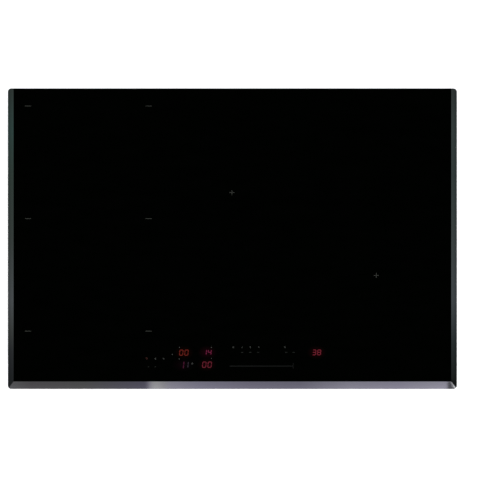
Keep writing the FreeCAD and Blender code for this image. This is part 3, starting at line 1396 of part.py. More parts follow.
def cover_pin():
    """Steel pin that the cover swings on."""
    return hinge_bar(PIN_RADIUS, DOOR_LEFT - ENTRY_RIB + 0.5, BOX_HALF_X)


# ================================================================== gripping springs
def on_side(side, y):
    """Maps a distance out from the casing wall and a height to a point beside the casing."""
    return lambda u, v: Vector(side * (CASING_HALF_X + u), y, v)


def spring_hook(side, y):
    """Screwed steel strip whose lower end curls round the leaf's eye."""
    at = on_side(side, y - GRIP_WIDTH / 2)
    reach = EYE_RADIUS + EYE_FIT + GRIP_SHEET
    inner = EYE_RADIUS + EYE_FIT
    end = radians(CURL_END)
    centre = (EYE_REACH, EYE_HEIGHT)

    def point(radius, angle):
        return at(centre[0] + radius * cos(angle), centre[1] + radius * sin(angle))

    middle = (pi + 2 * pi + end) / 2
    edges = [
        Part.makeLine(at(0, GRIP_TOP), at(0, EYE_HEIGHT)),
        Part.Arc(point(reach, pi), point(reach, middle), point(reach, end)).toShape(),
        Part.makeLine(point(reach, end), point(inner, end)),
        Part.Arc(point(inner, end), point(inner, middle), point(inner, pi)).toShape(),
        Part.makeLine(at(GRIP_SHEET, EYE_HEIGHT), at(GRIP_SHEET, GRIP_TOP)),
        Part.makeLine(at(GRIP_SHEET, GRIP_TOP), at(0, GRIP_TOP)),
    ]
    body = Part.Face(Part.Wire(edges)).extrude(BACK * GRIP_WIDTH)
    hole = Part.makeCylinder(
        SCREW_SHANK + SCREW_CLEARANCE,
        GRIP_SHEET + 4,
        Vector(side * (CASING_HALF_X - 2), y, GRIP_SCREW_HEIGHT),
        RIGHT * side,
    )
    return body.cut(hole)


def spring_leaf(side, y):
    """Springy leaf that leans out to grip the cut-out: an eye, a long flank and a turned-in tip."""
    at = on_side(side, y - GRIP_WIDTH / 2)
    half = LEAF_SHEET / 2
    path = [
        (EYE_REACH, EYE_HEIGHT),
        (LEAF_PEAK_REACH - half, LEAF_PEAK_HEIGHT),
        (LEAF_TIP_REACH, LEAF_TIP_HEIGHT),
    ]
    flank = strip(path, LEAF_SHEET, LEAF_BEND, at).extrude(BACK * GRIP_WIDTH)
    eye_start = at(EYE_REACH, EYE_HEIGHT)
    eye = Part.makeCylinder(EYE_RADIUS, GRIP_WIDTH, eye_start, BACK)
    window = Part.makeCylinder(
        LEAF_WINDOW, LEAF_PEAK_REACH + 6, Vector(side * CASING_HALF_X, y, GRIP_SCREW_HEIGHT), RIGHT * side
    )
    return fuse([flank, eye]).cut(window)


# ================================================================== wiring
def coil_leads():
    """Two insulated leads for each coil, from the winding's ends down to their socket."""
    leads = []
    run = PLATE_BOTTOM - LEAD_RADIUS - 1.2
    under = FORMER_BOTTOM - LEAD_RADIUS - 0.2
    end = BOARD_TOP + 3.0
    for name, x, y, half_x, half_y, corner in COILS:
        first, last = winding_ends(half_x, corner)
        starts = (
            [Vector(x + first - LITZ / 2 - 1.2, y, LITZ_BOTTOM + LITZ / 2)],
            [Vector(x + last, y, LITZ_BOTTOM - 0.2), Vector(x + last, y, under)],
        )
        for points, route in zip(starts, lead_routes(name, x, y)):
            level = points[-1].z
            path = points + [Vector(*route[0], level)]
            path += [Vector(px, py, run) for px, py in route]
            path.append(Vector(*route[-1], end))
            leads.append(tube(path, LEAD_RADIUS, LEAD_BEND))
    return leads


def mains_wires():
    """One wire from each pole of the terminal block to the filter board."""
    wires = []
    end_y = mains_plug_y()
    for x, z in pole_places():
        points = [
            Vector(x, BOX_FRONT + BOX_WALL, z),
            Vector(x, end_y, z),
            Vector(x, end_y, BOARD_TOP + 3.0),
        ]
        wires.append(tube(points, MAINS_RADIUS, MAINS_BEND))
    return wires


def panel_ribbon():
    """Flat cable from the touch board down to the filter board."""
    end_y = ribbon_socket_y()
    path = [
        (PANEL_Y, PANEL_BOARD_BOTTOM),
        (PANEL_Y, RIBBON_HEIGHT),
        (end_y, RIBBON_HEIGHT),
        (end_y, BOARD_TOP + 3.0),
    ]
    section = strip(path, RIBBON_THICKNESS, RIBBON_BEND, lambda u, v: Vector(-RIBBON_WIDTH / 2, u, v))
    return section.extrude(RIGHT * RIBBON_WIDTH)


# ================================================================== the assembly
def assembly():
    """Every node by name, each with its solids."""
    nodes = {
        "glass_panel": [glass_panel()],
        "worktop_seal": worktop_seal(),
        "glue_line": [glue_line()],
        "carrier_frame": [carrier_frame()],
        "bottom_casing": [bottom_casing()],
        "coil_support_plate": [support_plate()],
        "plate_posts": plate_posts(),
        "filter_board": [circuit_board(0, FILTER_Y, FILTER_WIDTH, FILTER_DEPTH, [])],
        "film_capacitors": film_capacitors(),
        "filter_chokes": filter_chokes(),
        "board_connectors": board_connectors(),
        "panel_carrier": [panel_carrier()],
        "touch_board": [touch_board()],
        "digit_displays": digit_displays(),
        "touch_pads": touch_pads(),
        "terminal_box": [terminal_box()],
        "cable_bushing": [cable_bushing()],
        "terminal_block": [terminal_block()],
        "terminal_screws": terminal_screws(),
        "terminal_cover": [terminal_cover()],
        "cover_pin": [cover_pin()],
        "coil_leads": coil_leads(),
        "mains_wires": mains_wires(),
        "panel_ribbon": [panel_ribbon()],
    }
    screw = pan_head_screw()
    wall_places = casing_screw_places() + grip_screw_places() + box_screw_places()
    nodes["casing_screws"] = [facing(screw, out, at) for at, out in wall_places]
    inner_places = [(x, y, PLATE_TOP) for x, y in post_places()]
    for _, module_x in MODULES:
        inner_places += [(x, y, SINK_BOTTOM + SINK_BASE) for x, y in sink_screw_places(module_x)]
    nodes["inner_screws"] = [facing(screw, UP, Vector(*place)) for place in inner_places]
    nodes["ferrite_bars"] = []
    nodes["mica_sheets"] = []
    for name, x, y, half_x, half_y, corner in COILS:
        nodes["coil_former_" + name] = [coil_former(x, y, half_x, half_y, corner)]
        nodes["coil_winding_" + name] = [coil_winding(x, y, half_x, half_y, corner)]
        nodes["sensor_" + name] = [sensor(x, y)]
        nodes["sensor_spring_" + name] = [sensor_spring(x, y)]
        nodes["ferrite_bars"] += ferrite_bars(x, y, corner)
        nodes["mica_sheets"].append(mica_sheet(x, y, half_x, half_y, corner))
    nodes["board_trays"] = [board_tray(0, FILTER_Y, FILTER_WIDTH, FILTER_DEPTH, [])]
    nodes["power_transistors"] = []
    nodes["heat_sinks"] = []
    nodes["fan_motors"] = []
    for name, x in MODULES:
        posts = sink_screw_places(x)
        nodes["board_trays"].append(board_tray(x, BOARD_Y, BOARD_WIDTH, BOARD_DEPTH, posts))
        nodes["power_board_" + name] = [circuit_board(x, BOARD_Y, BOARD_WIDTH, BOARD_DEPTH, posts)]
        nodes["heat_sinks"].append(heat_sink(x))
        nodes["fan_housing_" + name] = [fan_housing(x)]
        nodes["fan_impeller_" + name] = [fan_impeller(x)]
        nodes["power_transistors"] += power_transistors(x)
        nodes["fan_motors"].append(fan_motor(x))
    nodes["spring_hooks"] = []
    for name, side, y in grip_places():
        nodes["spring_hooks"].append(spring_hook(side, y))
        nodes["spring_leaf_" + name] = [spring_leaf(side, y)]
    return nodes


def main():
    """Writes one STEP file for each node."""
    os.makedirs("parts", exist_ok=True)
    for name, solids in assembly().items():
        shape = solids[0] if len(solids) == 1 else Part.Compound(solids)
        shape.exportStep("parts/" + name + ".step")
        state = "ok" if shape.isValid() else "INVALID"
        print(f"{name}: {len(shape.Solids)} solid(s), {shape.Volume / 1000:.2f} cm3, {state}")


main()
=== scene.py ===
# %% [markdown]
# # A built-in induction cooktop
# The object is a black glass-ceramic panel with ground bevels, glued to a steel frame over a
# shallow galvanised casing. Every part could be modelled again here, but the solid model has them
# at their true size. So this script adds only what it lacks: printed marks, lit digits, a blank
# rating plate, merged copies of the springs and a finish for each part. The model is loaded first,
# because each position below comes from it.

# %% Load the solid model
import math

import bmesh
import bpy
from mathutils import Matrix, Vector


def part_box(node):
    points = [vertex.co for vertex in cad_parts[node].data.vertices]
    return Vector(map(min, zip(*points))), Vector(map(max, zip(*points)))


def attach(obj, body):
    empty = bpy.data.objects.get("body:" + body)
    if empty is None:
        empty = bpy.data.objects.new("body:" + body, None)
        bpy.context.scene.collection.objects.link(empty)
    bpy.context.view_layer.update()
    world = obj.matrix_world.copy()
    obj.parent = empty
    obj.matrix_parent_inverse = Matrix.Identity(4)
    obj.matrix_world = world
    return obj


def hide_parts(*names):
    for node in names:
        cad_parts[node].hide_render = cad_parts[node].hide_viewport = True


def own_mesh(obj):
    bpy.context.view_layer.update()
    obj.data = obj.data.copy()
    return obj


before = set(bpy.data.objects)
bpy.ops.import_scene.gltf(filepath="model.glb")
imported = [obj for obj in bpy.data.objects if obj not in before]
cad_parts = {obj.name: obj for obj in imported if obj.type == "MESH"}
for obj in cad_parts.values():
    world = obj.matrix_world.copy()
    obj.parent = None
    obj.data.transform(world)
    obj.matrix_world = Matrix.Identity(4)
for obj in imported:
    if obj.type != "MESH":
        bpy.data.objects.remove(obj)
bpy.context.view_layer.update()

MM = 0.001
glass_low, glass_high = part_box("glass_panel")
GLASS_TOP = glass_high.z
print("glass panel", [round(size / MM, 1) for size in glass_high - glass_low], "mm")

# %% [markdown]
# ## Working by hand in code
# New pieces are made with the tools that a modeller uses by hand. Mesh data could be written
# directly, but the operators show each step by its usual name. They act on whatever is selected,
# so small helpers keep that under control: one empties the selection, one picks faces or edges by
# their place and direction, one joins pieces, and one fixes a finished piece in place, so that its
# object stays at the origin.

# %% Selecting and finishing helpers
def start_clean():
    """Leave edit mode and deselect everything, so that an operator meets only its own piece."""
    if bpy.context.object and bpy.context.object.mode == "EDIT":
        bpy.ops.object.mode_set(mode="OBJECT")
    bpy.ops.object.select_all(action="DESELECT")


def pick(piece, kind, wanted):
    """Open a piece and select the faces or edges for which wanted(middle, direction) is true."""
    bpy.context.view_layer.objects.active = piece
    bpy.ops.object.mode_set(mode="EDIT")
    bpy.ops.mesh.select_mode(type="FACE" if kind == "faces" else "EDGE")
    bpy.ops.mesh.select_all(action="DESELECT")
    cage = bmesh.from_edit_mesh(piece.data)
    for item in getattr(cage, kind):
        if kind == "faces":
            item.select_set(wanted(item.calc_center_median(), item.normal))
        else:
            ends = [corner.co for corner in item.verts]
            item.select_set(wanted((ends[0] + ends[1]) / 2, (ends[1] - ends[0]).normalized()))
    cage.select_flush_mode()
    bmesh.update_edit_mesh(piece.data)


def finished(piece, name, finish):
    """Fix a piece in place, name it, give it its finish and let it ride on the cooktop."""
    start_clean()
    piece.select_set(True)
    bpy.context.view_layer.objects.active = piece
    bpy.ops.object.transform_apply(location=True, rotation=True, scale=True)
    piece.name = name
    piece.data.name = name
    piece.data.materials.clear()
    piece.data.materials.append(finish)
    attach(piece, "cooktop")
    print(f"{name}: {len(piece.data.polygons)} faces")
    return piece


def joined(pieces):
    """Join several pieces into one object."""
    start_clean()
    for piece in pieces:
        piece.select_set(True)
    bpy.context.view_layer.objects.active = pieces[0]
    bpy.ops.object.join()
    return bpy.context.object


start_clean()
print(len(bpy.context.selected_objects), "objects selected after a clean start")

# %% [markdown]
# ## Making finishes
# A finish is a small network of nodes. It could be built by hand in the shader editor; in code the
# same network can serve many parts. Colours are the hex values that a paint card or a screen
# shows, so one function turns them into the linear light that the shader works in. Another adds a
# node with its settings, links and colour stops in one line.

# %% Colour and node helpers
def linear(hex_colour, gain=1.0):
    """Turn an sRGB hex colour into linear light, times a gain."""
    steps = [int(hex_colour[at:at + 2], 16) / 255 for at in (1, 3, 5)]
    light = [step / 12.92 if step <= 0.04045 else ((step + 0.055) / 1.055) ** 2.4 for step in steps]
    return (*[channel * gain for channel in light], 1.0)


def add_node(tree, kind, sockets=None, stops=(), **settings):
    """Add a node, set its properties and colour stops, and fill its inputs with values or links."""
    made = tree.nodes.new(kind)
    for name, value in settings.items():
        setattr(made, name, value)
    for name, value in (sockets or {}).items():
        if isinstance(value, bpy.types.NodeSocket):
            tree.links.new(value, made.inputs[name])
        else:
            made.inputs[name].default_value = value
    if stops:
        ramp = made.color_ramp.elements
        while len(ramp) < len(stops):
            ramp.new(0.5)
        for stop, (position, colour) in zip(ramp, stops):
            stop.position = position
            stop.color = colour
    return made


def new_finish(name):
    """Start a material: returns it, its tree and the piece's own coordinates."""
    material = bpy.data.materials.new(name)
    material.use_nodes = True
    tree = material.node_tree
    return material, tree, add_node(tree, "ShaderNodeTexCoord").outputs["Object"]


def dress(tree, **sockets):
    """Set or link the sockets of the Principled shader, named with underscores for spaces."""
    shader = tree.nodes["Principled BSDF"]
    for name, value in sockets.items():
        socket = shader.inputs[name.replace("_", " ")]
        if isinstance(value, bpy.types.NodeSocket):
            tree.links.new(value, socket)
        else:
            socket.default_value = value


print("linear light of mid grey:", [round(channel, 3) for channel in linear("#808080")])

# %% [markdown]
# ## One pattern, three effects
# On a real surface the same grain that darkens the colour also dulls the gloss and stands a little
# proud. Separate patterns for each would look like dirt on plastic. So one pattern from 0 to 1
# drives all three: the colour runs between two tones, the roughness between two values, and a
# height raises the surface by a real depth.

# %% Patterned surface
TONE_ENDS = (0.3, 0.7)  # a noise pattern mostly stays between these
print("tones run between", TONE_ENDS)


def patterned(tree, pattern, tones, rough, height, depth_mm, **sockets):
    """Let a pattern drive colour and roughness, and a height the relief."""
    stops = [(end, linear(tone)) for end, tone in zip(TONE_ENDS, tones)]
    colour = add_node(tree, "ShaderNodeValToRGB", {"Fac": pattern}, stops)
    gloss = add_node(
        tree, "ShaderNodeMapRange", {"Value": pattern, "To Min": rough[0], "To Max": rough[1]}
    )
    relief = add_node(tree, "ShaderNodeBump", {"Height": height, "Distance": depth_mm * MM})
    dress(
        tree,
        Base_Color=colour.outputs["Color"],
        Roughness=gloss.outputs["Result"],
        Normal=relief.outputs["Normal"],
        **sockets,
    )


# %% [markdown]
# ## Grained surfaces
# Most of the parts are moulded, cast, rolled or drawn. Each process leaves a grain of a certain
# size: the skin of a moulding, the lines along a rolled sheet, the pits of a sintered block. A
# network for each would repeat itself, so one serves them all: noise at the real grain size, mixed
# with broad patches, and a stretch that makes the grain run one way.

# %% Grained finish
PATCH_SIZE = 60 * MM
print("broad patches:", round(PATCH_SIZE / MM), "mm")


def grained(name, dark, light, grain_mm, rough, depth_mm, stretch=(1, 1, 1), **sockets):
    """A finish whose grain of grain_mm varies colour, roughness and height."""
    material, tree, where = new_finish(name)
    along_grain = add_node(tree, "ShaderNodeMapping", {"Vector": where, "Scale": stretch})
    grain = add_node(
        tree,
        "ShaderNodeTexNoise",
        {
            "Vector": along_grain.outputs["Vector"],
            "Scale": 1 / (grain_mm * MM),
            "Detail": 3.0,
            "Roughness": 0.6,
        },
    ).outputs["Fac"]
    patches = add_node(
        tree, "ShaderNodeTexNoise", {"Vector": where, "Scale": 1 / PATCH_SIZE, "Detail": 2.0}
    ).outputs["Fac"]
    even = add_node(
        tree, "ShaderNodeMix", {"Factor": 0.5, "A": grain, "B": patches}, data_type="FLOAT"
    ).outputs["Result"]
    patterned(tree, even, (dark, light), rough, grain, depth_mm, **sockets)
    return material


finishes = {}

# %% [markdown]
# ## Plastics and rubbers
# Glass-filled polyester holds the coils, ABS makes the trays, and polyamide makes the fans, the
# terminal box and the connectors. All are dull with a fine skin and an IOR near 1.5, so they differ
# only in tone, grain and gloss, and one line each is enough. Rubber scatters its highlights more.

# %% Plastic and rubber finishes
finishes["former_plastic"] = grained(  # glass-filled polyester, with its fibres showing at the skin
    "glass_filled_polyester", "#c9c2b0", "#dcd7c8", 0.9, (0.45, 0.62), 0.02, (1, 0.35, 1), IOR=1.57
)
finishes["tray_plastic"] = grained(  # flame-retardant ABS, moulded with a fine spark-eroded skin
    "moulded_grey_abs", "#8b8d90", "#9a9c9f", 1.2, (0.42, 0.6), 0.03, IOR=1.53
)
finishes["fan_black"] = grained(  # black polyamide, moulded with a matt skin
    "moulded_black_polyamide", "#141416", "#232427", 1.1, (0.4, 0.6), 0.03, IOR=1.53
)
finishes["motor_grey"] = grained(  # over-moulded winding body
    "overmoulded_stator", "#4c4d50", "#5d5e62", 1.4, (0.4, 0.55), 0.03, IOR=1.55
)
finishes["carrier_black"] = grained(  # black ABS, moulded
    "moulded_black_abs", "#131315", "#1f2022", 1.2, (0.4, 0.58), 0.03, IOR=1.53
)
finishes["box_grey"] = grained(  # self-extinguishing polyamide of the terminal box, pale grey
    "moulded_grey_polyamide", "#b4b6b6", "#c6c8c7", 1.0, (0.38, 0.55), 0.025, IOR=1.53
)
finishes["block_cream"] = grained(  # thermoset of the terminal block, slightly glossy
    "melamine_terminal_block", "#cfc4a4", "#dfd6ba", 1.6, (0.25, 0.4), 0.015, IOR=1.6
)
finishes["connector_white"] = grained(  # natural nylon, a little translucent
    "natural_nylon", "#d9d5c6", "#e9e6da", 1.0, (0.3, 0.45), 0.015, IOR=1.53, Subsurface_Weight=0.1
)
finishes["package_black"] = grained(  # moulded epoxy of power transistors
    "moulded_epoxy", "#17171a", "#26272b", 0.7, (0.45, 0.65), 0.02, IOR=1.55
)
finishes["capacitor_blue"] = grained(  # boxed film capacitors in blue polyester
    "blue_capacitor_case", "#1f3f86", "#2a4f9c", 1.5, (0.25, 0.4), 0.01, IOR=1.55
)
finishes["pad_grey"] = grained(  # conductive foam pads under the touch keys
    "conductive_foam", "#56585a", "#707274", 0.8, (0.8, 0.95), 0.12, IOR=1.45
)
finishes["silicone"] = grained(  # cured bead of black silicone
    "cured_silicone", "#1b1b1c", "#2a2a2b", 3.0, (0.35, 0.5), 0.08, IOR=1.41
)
finishes["bushing_rubber"] = grained(  # EPDM cable bushing
    "epdm_rubber", "#1b1b1d", "#2c2c2e", 0.9, (0.55, 0.75), 0.04, IOR=1.5
)
finishes["lead_silicone"] = grained(  # silicone-insulated leads with a glass braid, brick red
    "braided_silicone_sleeve", "#7d2f22", "#a04634", 0.7, (0.5, 0.7), 0.08, (1, 1, 0.6), IOR=1.45
)
finishes["mains_insulation"] = grained(  # PVC insulation of the mains wires
    "pvc_insulation", "#3b3f8a", "#4a4e9c", 1.6, (0.3, 0.45), 0.02, IOR=1.54
)
finishes["display_smoke"] = grained(  # smoked front of a seven-segment display
    "smoked_acrylic", "#1c0a0a", "#2a1010", 2.0, (0.12, 0.25), 0.004, IOR=1.49
)
print(len(finishes), "plastics and rubbers")

# %% [markdown]
# ## Metals
# Rolled sheet, drawn wire, extrusions and plated screws differ in the direction and the fineness
# of their lines. Those could be cut as grooves, but they are finer than any mesh, so they are
# grain, stretched along the line of work. A metal's colour comes from its reflection: the base
# colour is the metal's own tint, the metallic value is 1, and the IOR stays at its default.

# %% Metal finishes
finishes["frame_steel"] = grained(  # black powder coat over steel, so the skin is plastic
    "powder_coated_steel", "#1a1a1b", "#262627", 1.8, (0.38, 0.5), 0.05, IOR=1.5
)
finishes["plate_aluminium"] = grained(  # mill-finish sheet, its rolling lines running along X
    "rolled_aluminium", "#c3c6c8", "#dcdedf", 1.2, (0.26, 0.42), 0.01, (0.03, 1, 1), Metallic=1.0
)
finishes["sink_aluminium"] = grained(  # extruded heat sink, its die lines running along Y
    "extruded_aluminium", "#b5b8ba", "#d2d4d5", 0.9, (0.3, 0.48), 0.015, (1, 0.03, 1), Metallic=1.0
)
finishes["zinc_screw"] = grained(  # blue-passivated zinc over cold-headed steel
    "zinc_plated_steel", "#aab1ba", "#ced4da", 0.9, (0.22, 0.38), 0.01, Metallic=1.0
)
finishes["spring_steel"] = grained(  # stainless strip, brushed along its length
    "stainless_spring_strip", "#a7a6a1", "#c4c2bc", 0.6, (0.24, 0.38), 0.008, (1, 1, 0.04),
    Metallic=1.0,
)
finishes["spring_wire"] = grained(  # drawn and polished spring wire
    "drawn_spring_wire", "#b9babb", "#dadbdb", 0.5, (0.16, 0.26), 0.004, Metallic=1.0
)
finishes["terminal_brass"] = grained(  # turned brass of the terminal clamps
    "turned_brass", "#b08d4a", "#cfae68", 0.6, (0.22, 0.36), 0.008, (1, 1, 6), Metallic=1.0
)
print(len(finishes), "with the metals")

# %% [markdown]
# ## Sintered and pressed minerals
# Ferrite bars are pressed powder fired like a brick, and the sensor caps are unglazed ceramic: both
# are grain with pits. The mica sheets are pressed flakes that catch the light one by one, which
# smooth noise can't show, so they take a cell pattern that gives each flake one tint.

# %% Mineral finishes
finishes["ferrite"] = grained(  # sintered, dark grey with fine pits
    "sintered_ferrite", "#242428", "#37373c", 0.8, (0.4, 0.6), 0.05, IOR=1.9
)
finishes["sensor_white"] = grained(  # fired, unglazed
    "unglazed_ceramic", "#dcd9cf", "#ebe9e1", 0.8, (0.55, 0.75), 0.02, IOR=1.6
)


FLAKE_SIZE = 3 * MM


def pressed_mica():
    """Overlapping flakes, each with its own tint and gloss."""
    material, tree, where = new_finish("pressed_mica")
    flakes = add_node(tree, "ShaderNodeTexVoronoi", {"Vector": where, "Scale": 1 / FLAKE_SIZE})
    flake_colour = {"Color": flakes.outputs["Color"]}
    tint = add_node(tree, "ShaderNodeSeparateColor", flake_colour).outputs["Red"]
    patterned(tree, tint, ("#a99c80", "#cdc3a8"), (0.25, 0.55), tint, 0.02, IOR=1.58)
    return material


finishes["mica"] = pressed_mica()
print(len(finishes), "with the minerals")

# %% [markdown]
# ## Galvanised sheet
# Hot-dip zinc freezes into flat crystals a few millimetres across, called spangle. Each crystal
# reflects the studio a little differently. Plain noise would look like smoke, so a cell pattern
# gives every crystal one tint and one roughness, a wobble bends the straight cell edges, and a
# finer noise frosts the crystals so that they don't look like tiles.

# %% Galvanised finish
SPANGLE_SIZE = 7 * MM
SPANGLE_WOBBLE = 2.2 * MM
WOBBLE_SIZE = 4 * MM
FROST_SIZE = 1.2 * MM


def galvanised_sheet():
    """Frosted zinc spangle over rolled steel."""
    material, tree, where = new_finish("hot_dip_galvanised_steel")
    wobble = add_node(
        tree, "ShaderNodeTexNoise", {"Vector": where, "Scale": 1 / WOBBLE_SIZE, "Detail": 3.0}
    )
    bent = add_node(
        tree,
        "ShaderNodeVectorMath",
        {0: wobble.outputs["Color"], 1: [SPANGLE_WOBBLE] * 3, 2: where},
        operation="MULTIPLY_ADD",
    ).outputs["Vector"]
    crystals = add_node(tree, "ShaderNodeTexVoronoi", {"Vector": bent, "Scale": 1 / SPANGLE_SIZE})
    crystal_colour = {"Color": crystals.outputs["Color"]}
    tint = add_node(tree, "ShaderNodeSeparateColor", crystal_colour).outputs["Red"]
    frost = add_node(
        tree, "ShaderNodeTexNoise", {"Vector": where, "Scale": 1 / FROST_SIZE, "Detail": 4.0}
    ).outputs["Fac"]
    zinc = add_node(
        tree, "ShaderNodeMix", {"Factor": 0.25, "A": tint, "B": frost}, data_type="FLOAT"
    ).outputs["Result"]
    patterned(tree, zinc, ("#abafb1", "#bcc0c2"), (0.3, 0.5), zinc, 0.012, Metallic=1.0)
    return material


finishes["galvanised_steel"] = galvanised_sheet()
print("spangle:", round(SPANGLE_SIZE / MM), "mm")

# %% [markdown]
# ## Foam seal
# The seal tape is closed-cell foam. Its cut face shows cells about a millimetre wide, and it
# swallows almost all light. Modelled cells would take millions of faces for a strip that is mostly
# hidden, so a cell pattern with a deep relief stands for them.

# %% Foam finish
FOAM_CELL = 1.2 * MM


def closed_cell_foam():
    """Foam with its cells cut open."""
    material, tree, where = new_finish("closed_cell_foam")
    cells = add_node(
        tree, "ShaderNodeTexVoronoi", {"Vector": where, "Scale": 1 / FOAM_CELL}
    ).outputs["Distance"]
    patterned(tree, cells, ("#101011", "#29292a"), (0.85, 0.98), cells, 0.25, IOR=1.45)
    return material


finishes["foam_seal"] = closed_cell_foam()
print("foam cells:", round(FOAM_CELL / MM, 1), "mm")

# %% [markdown]
# ## Wound copper and flat cable
# Litz is a rope of thin enamelled strands, and a choke is wound with thick enamelled wire. Both
# show slanting bands, and the flat cable shows its cores as ribs. Separate strands could be curves,
# but they lie deep inside the casing, so a band pattern at the real spacing gives all three.

# %% Banded finishes
WAVE_UNIT = 2 * math.pi / 20  # the wave texture repeats 20 / (2 pi) times a unit at scale 1
BAND_BLOTCH = 5 * MM


def banded(name, tones, pitch_mm, depth_mm, rough, lean=0.0, wander=0.6, **sockets):
    """Bands at a real spacing, leaning by an angle and wandering a little."""
    material, tree, where = new_finish(name)
    leaning = add_node(tree, "ShaderNodeMapping", {"Vector": where, "Rotation": (0, 0, lean)})
    bands = add_node(
        tree,
        "ShaderNodeTexWave",
        {
            "Vector": leaning.outputs["Vector"],
            "Scale": WAVE_UNIT / (pitch_mm * MM),
            "Distortion": wander,
            "Detail": 2.0,
            "Detail Scale": 1.0,
        },
    ).outputs["Fac"]
    noise = add_node(
        tree, "ShaderNodeTexNoise", {"Vector": where, "Scale": 1 / BAND_BLOTCH}
    ).outputs["Fac"]
    uneven = add_node(
        tree, "ShaderNodeMix", {"Factor": 0.35, "A": bands, "B": noise}, data_type="FLOAT"
    ).outputs["Result"]
    patterned(tree, uneven, tones, rough, bands, depth_mm, **sockets)
    return material


finishes["litz"] = banded(  # enamelled copper strands, drawn coarser than the real 0.3 mm to show
    "enamelled_litz", ("#8a4526", "#d28a5a"), 0.8, 0.12, (0.25, 0.4), 0.7,
    Metallic=1.0, Coat_Weight=0.4,
)
finishes["choke_copper"] = banded(  # enamelled copper wire, 0.8 mm, drawn at twice its pitch
    "enamelled_copper_wire", ("#7b3a1d", "#cf7f49"), 1.6, 0.2, (0.2, 0.35), 0.4,
    Metallic=1.0, Coat_Weight=0.6,
)
finishes["ribbon_grey"] = banded(  # flat PVC cable with a rib over each core
    "grey_ribbon_cable", ("#8e9092", "#b6b8b9"), 1.27, 0.2, (0.35, 0.5), wander=0.0, IOR=1.54
)
print(len(finishes), "with the wound and flat cables")

# %% [markdown]
# ## Circuit boards
# Solder mask over copper shows the tracks as a slightly lighter green. Real tracks would need a
# layout drawing; here blocky cells stand for the copper, and small round spots for the tinned
# pads, which are bare metal and so change the metallic value as well.

# %% Board finish
MIX_FACTOR, MIX_FIRST, MIX_SECOND, MIX_RESULT = 0, 6, 7, 2  # colour sockets of a Mix node
TRACK_BLOCK = 9 * MM
PAD_PITCH = 5 * MM
COPPER_SHARE = 0.45  # cells under this tint have no copper
PAD_REACH = 0.16  # pad radius as a share of the pitch


def solder_masked_board():
    """Green solder mask over copper tracks, with tinned pads."""
    material, tree, where = new_finish("solder_masked_board")
    blocks = add_node(
        tree,
        "ShaderNodeTexVoronoi",
        {"Vector": where, "Scale": 1 / TRACK_BLOCK},
        distance="CHEBYCHEV",
    )
    block_colour = {"Color": blocks.outputs["Color"]}
    tint = add_node(tree, "ShaderNodeSeparateColor", block_colour).outputs["Green"]
    track = add_node(
        tree, "ShaderNodeMath", {0: tint, 1: COPPER_SHARE}, operation="GREATER_THAN"
    ).outputs["Value"]
    spots = add_node(
        tree, "ShaderNodeTexVoronoi", {"Vector": where, "Scale": 1 / PAD_PITCH}
    ).outputs["Distance"]
    pad = add_node(
        tree, "ShaderNodeMath", {0: spots, 1: PAD_REACH}, operation="LESS_THAN"
    ).outputs["Value"]
    mask = add_node(
        tree,
        "ShaderNodeMix",
        {MIX_FACTOR: track, MIX_FIRST: linear("#0b3a1d"), MIX_SECOND: linear("#17582c")},
        data_type="RGBA",
    ).outputs[MIX_RESULT]
    tinned = add_node(
        tree,
        "ShaderNodeMix",
        {MIX_FACTOR: pad, MIX_FIRST: mask, MIX_SECOND: linear("#c2c6c8")},
        data_type="RGBA",
    ).outputs[MIX_RESULT]
    gloss = add_node(tree, "ShaderNodeMapRange", {"Value": pad, "To Min": 0.3, "To Max": 0.22})
    relief = add_node(tree, "ShaderNodeBump", {"Height": track, "Distance": 0.035 * MM})
    dress(
        tree,
        Base_Color=tinned,
        Metallic=pad,
        Roughness=gloss.outputs["Result"],
        Normal=relief.outputs["Normal"],
        IOR=1.55,
    )
    return material


finishes["circuit_board"] = solder_masked_board()
print(len(finishes), "with the boards")

# %% [markdown]
# ## Camera
# The object is shown from straight above through a long lens, a little off its centre. A nearer
# camera would show the sides; from six metres they all but vanish. The camera comes before the
# light cards, because a mirror-black panel shows only what the camera sees reflected in it.

# %% Camera
CAMERA_DISTANCE = 6.0  # above the glass
FRAME_WIDTH = 0.8682  # what the view takes in at the glass
VIEW_X = 30.6 * MM
VIEW_Y = -19.6 * MM
SENSOR_WIDTH = 36.0  # a full-frame sensor, in mm
VIEW_REACH = 100.0
bpy.ops.object.camera_add(location=(VIEW_X, VIEW_Y, GLASS_TOP + CAMERA_DISTANCE))
camera = bpy.context.object  # a new camera looks straight down
camera.data.sensor_width = SENSOR_WIDTH
camera.data.lens = SENSOR_WIDTH * CAMERA_DISTANCE / FRAME_WIDTH
camera.data.clip_end = VIEW_REACH
bpy.context.scene.camera = camera
print("lens", round(camera.data.lens), "mm")

# %% [markdown]
# ## Where the controls are
# The touch controls sit along the front edge. Places could be typed in metres from the origin, but
# a printing film gives them in millimetres from the middle of the glass and from its front edge, so
# one function turns those into a place on the glass.

# %% Control layout
FRONT_EDGE = glass_low.y


def on_glass(x_mm, from_front_mm):
    """A place on the glass: millimetres right of its middle and back from its front edge."""
    return Vector((x_mm * MM, FRONT_EDGE + from_front_mm * MM, GLASS_TOP))


DISPLAYS = {  # text, place, hex colour of the lit segments, size of the digits
    "digits_rear_left": ("00", (-84.2, 63.2), "#661e16", 1.0),
    "digits_middle": ("14", (-43.6, 63.8), "#701e3e", 0.92),
    "digits_right": ("38", (146.4, 63.6), "#701e2c", 0.95),
    "digits_front_left": ("1", (-88.4, 41.8), "#3e0e28", 1.35),
    "digits_front_left_dim": ("1", (-80.0, 42.2), "#2c2630", 1.1),
    "digits_front_middle": ("00", (-44.1, 42.3), "#641c2a", 1.04),
}
print(len(DISPLAYS), "displays")

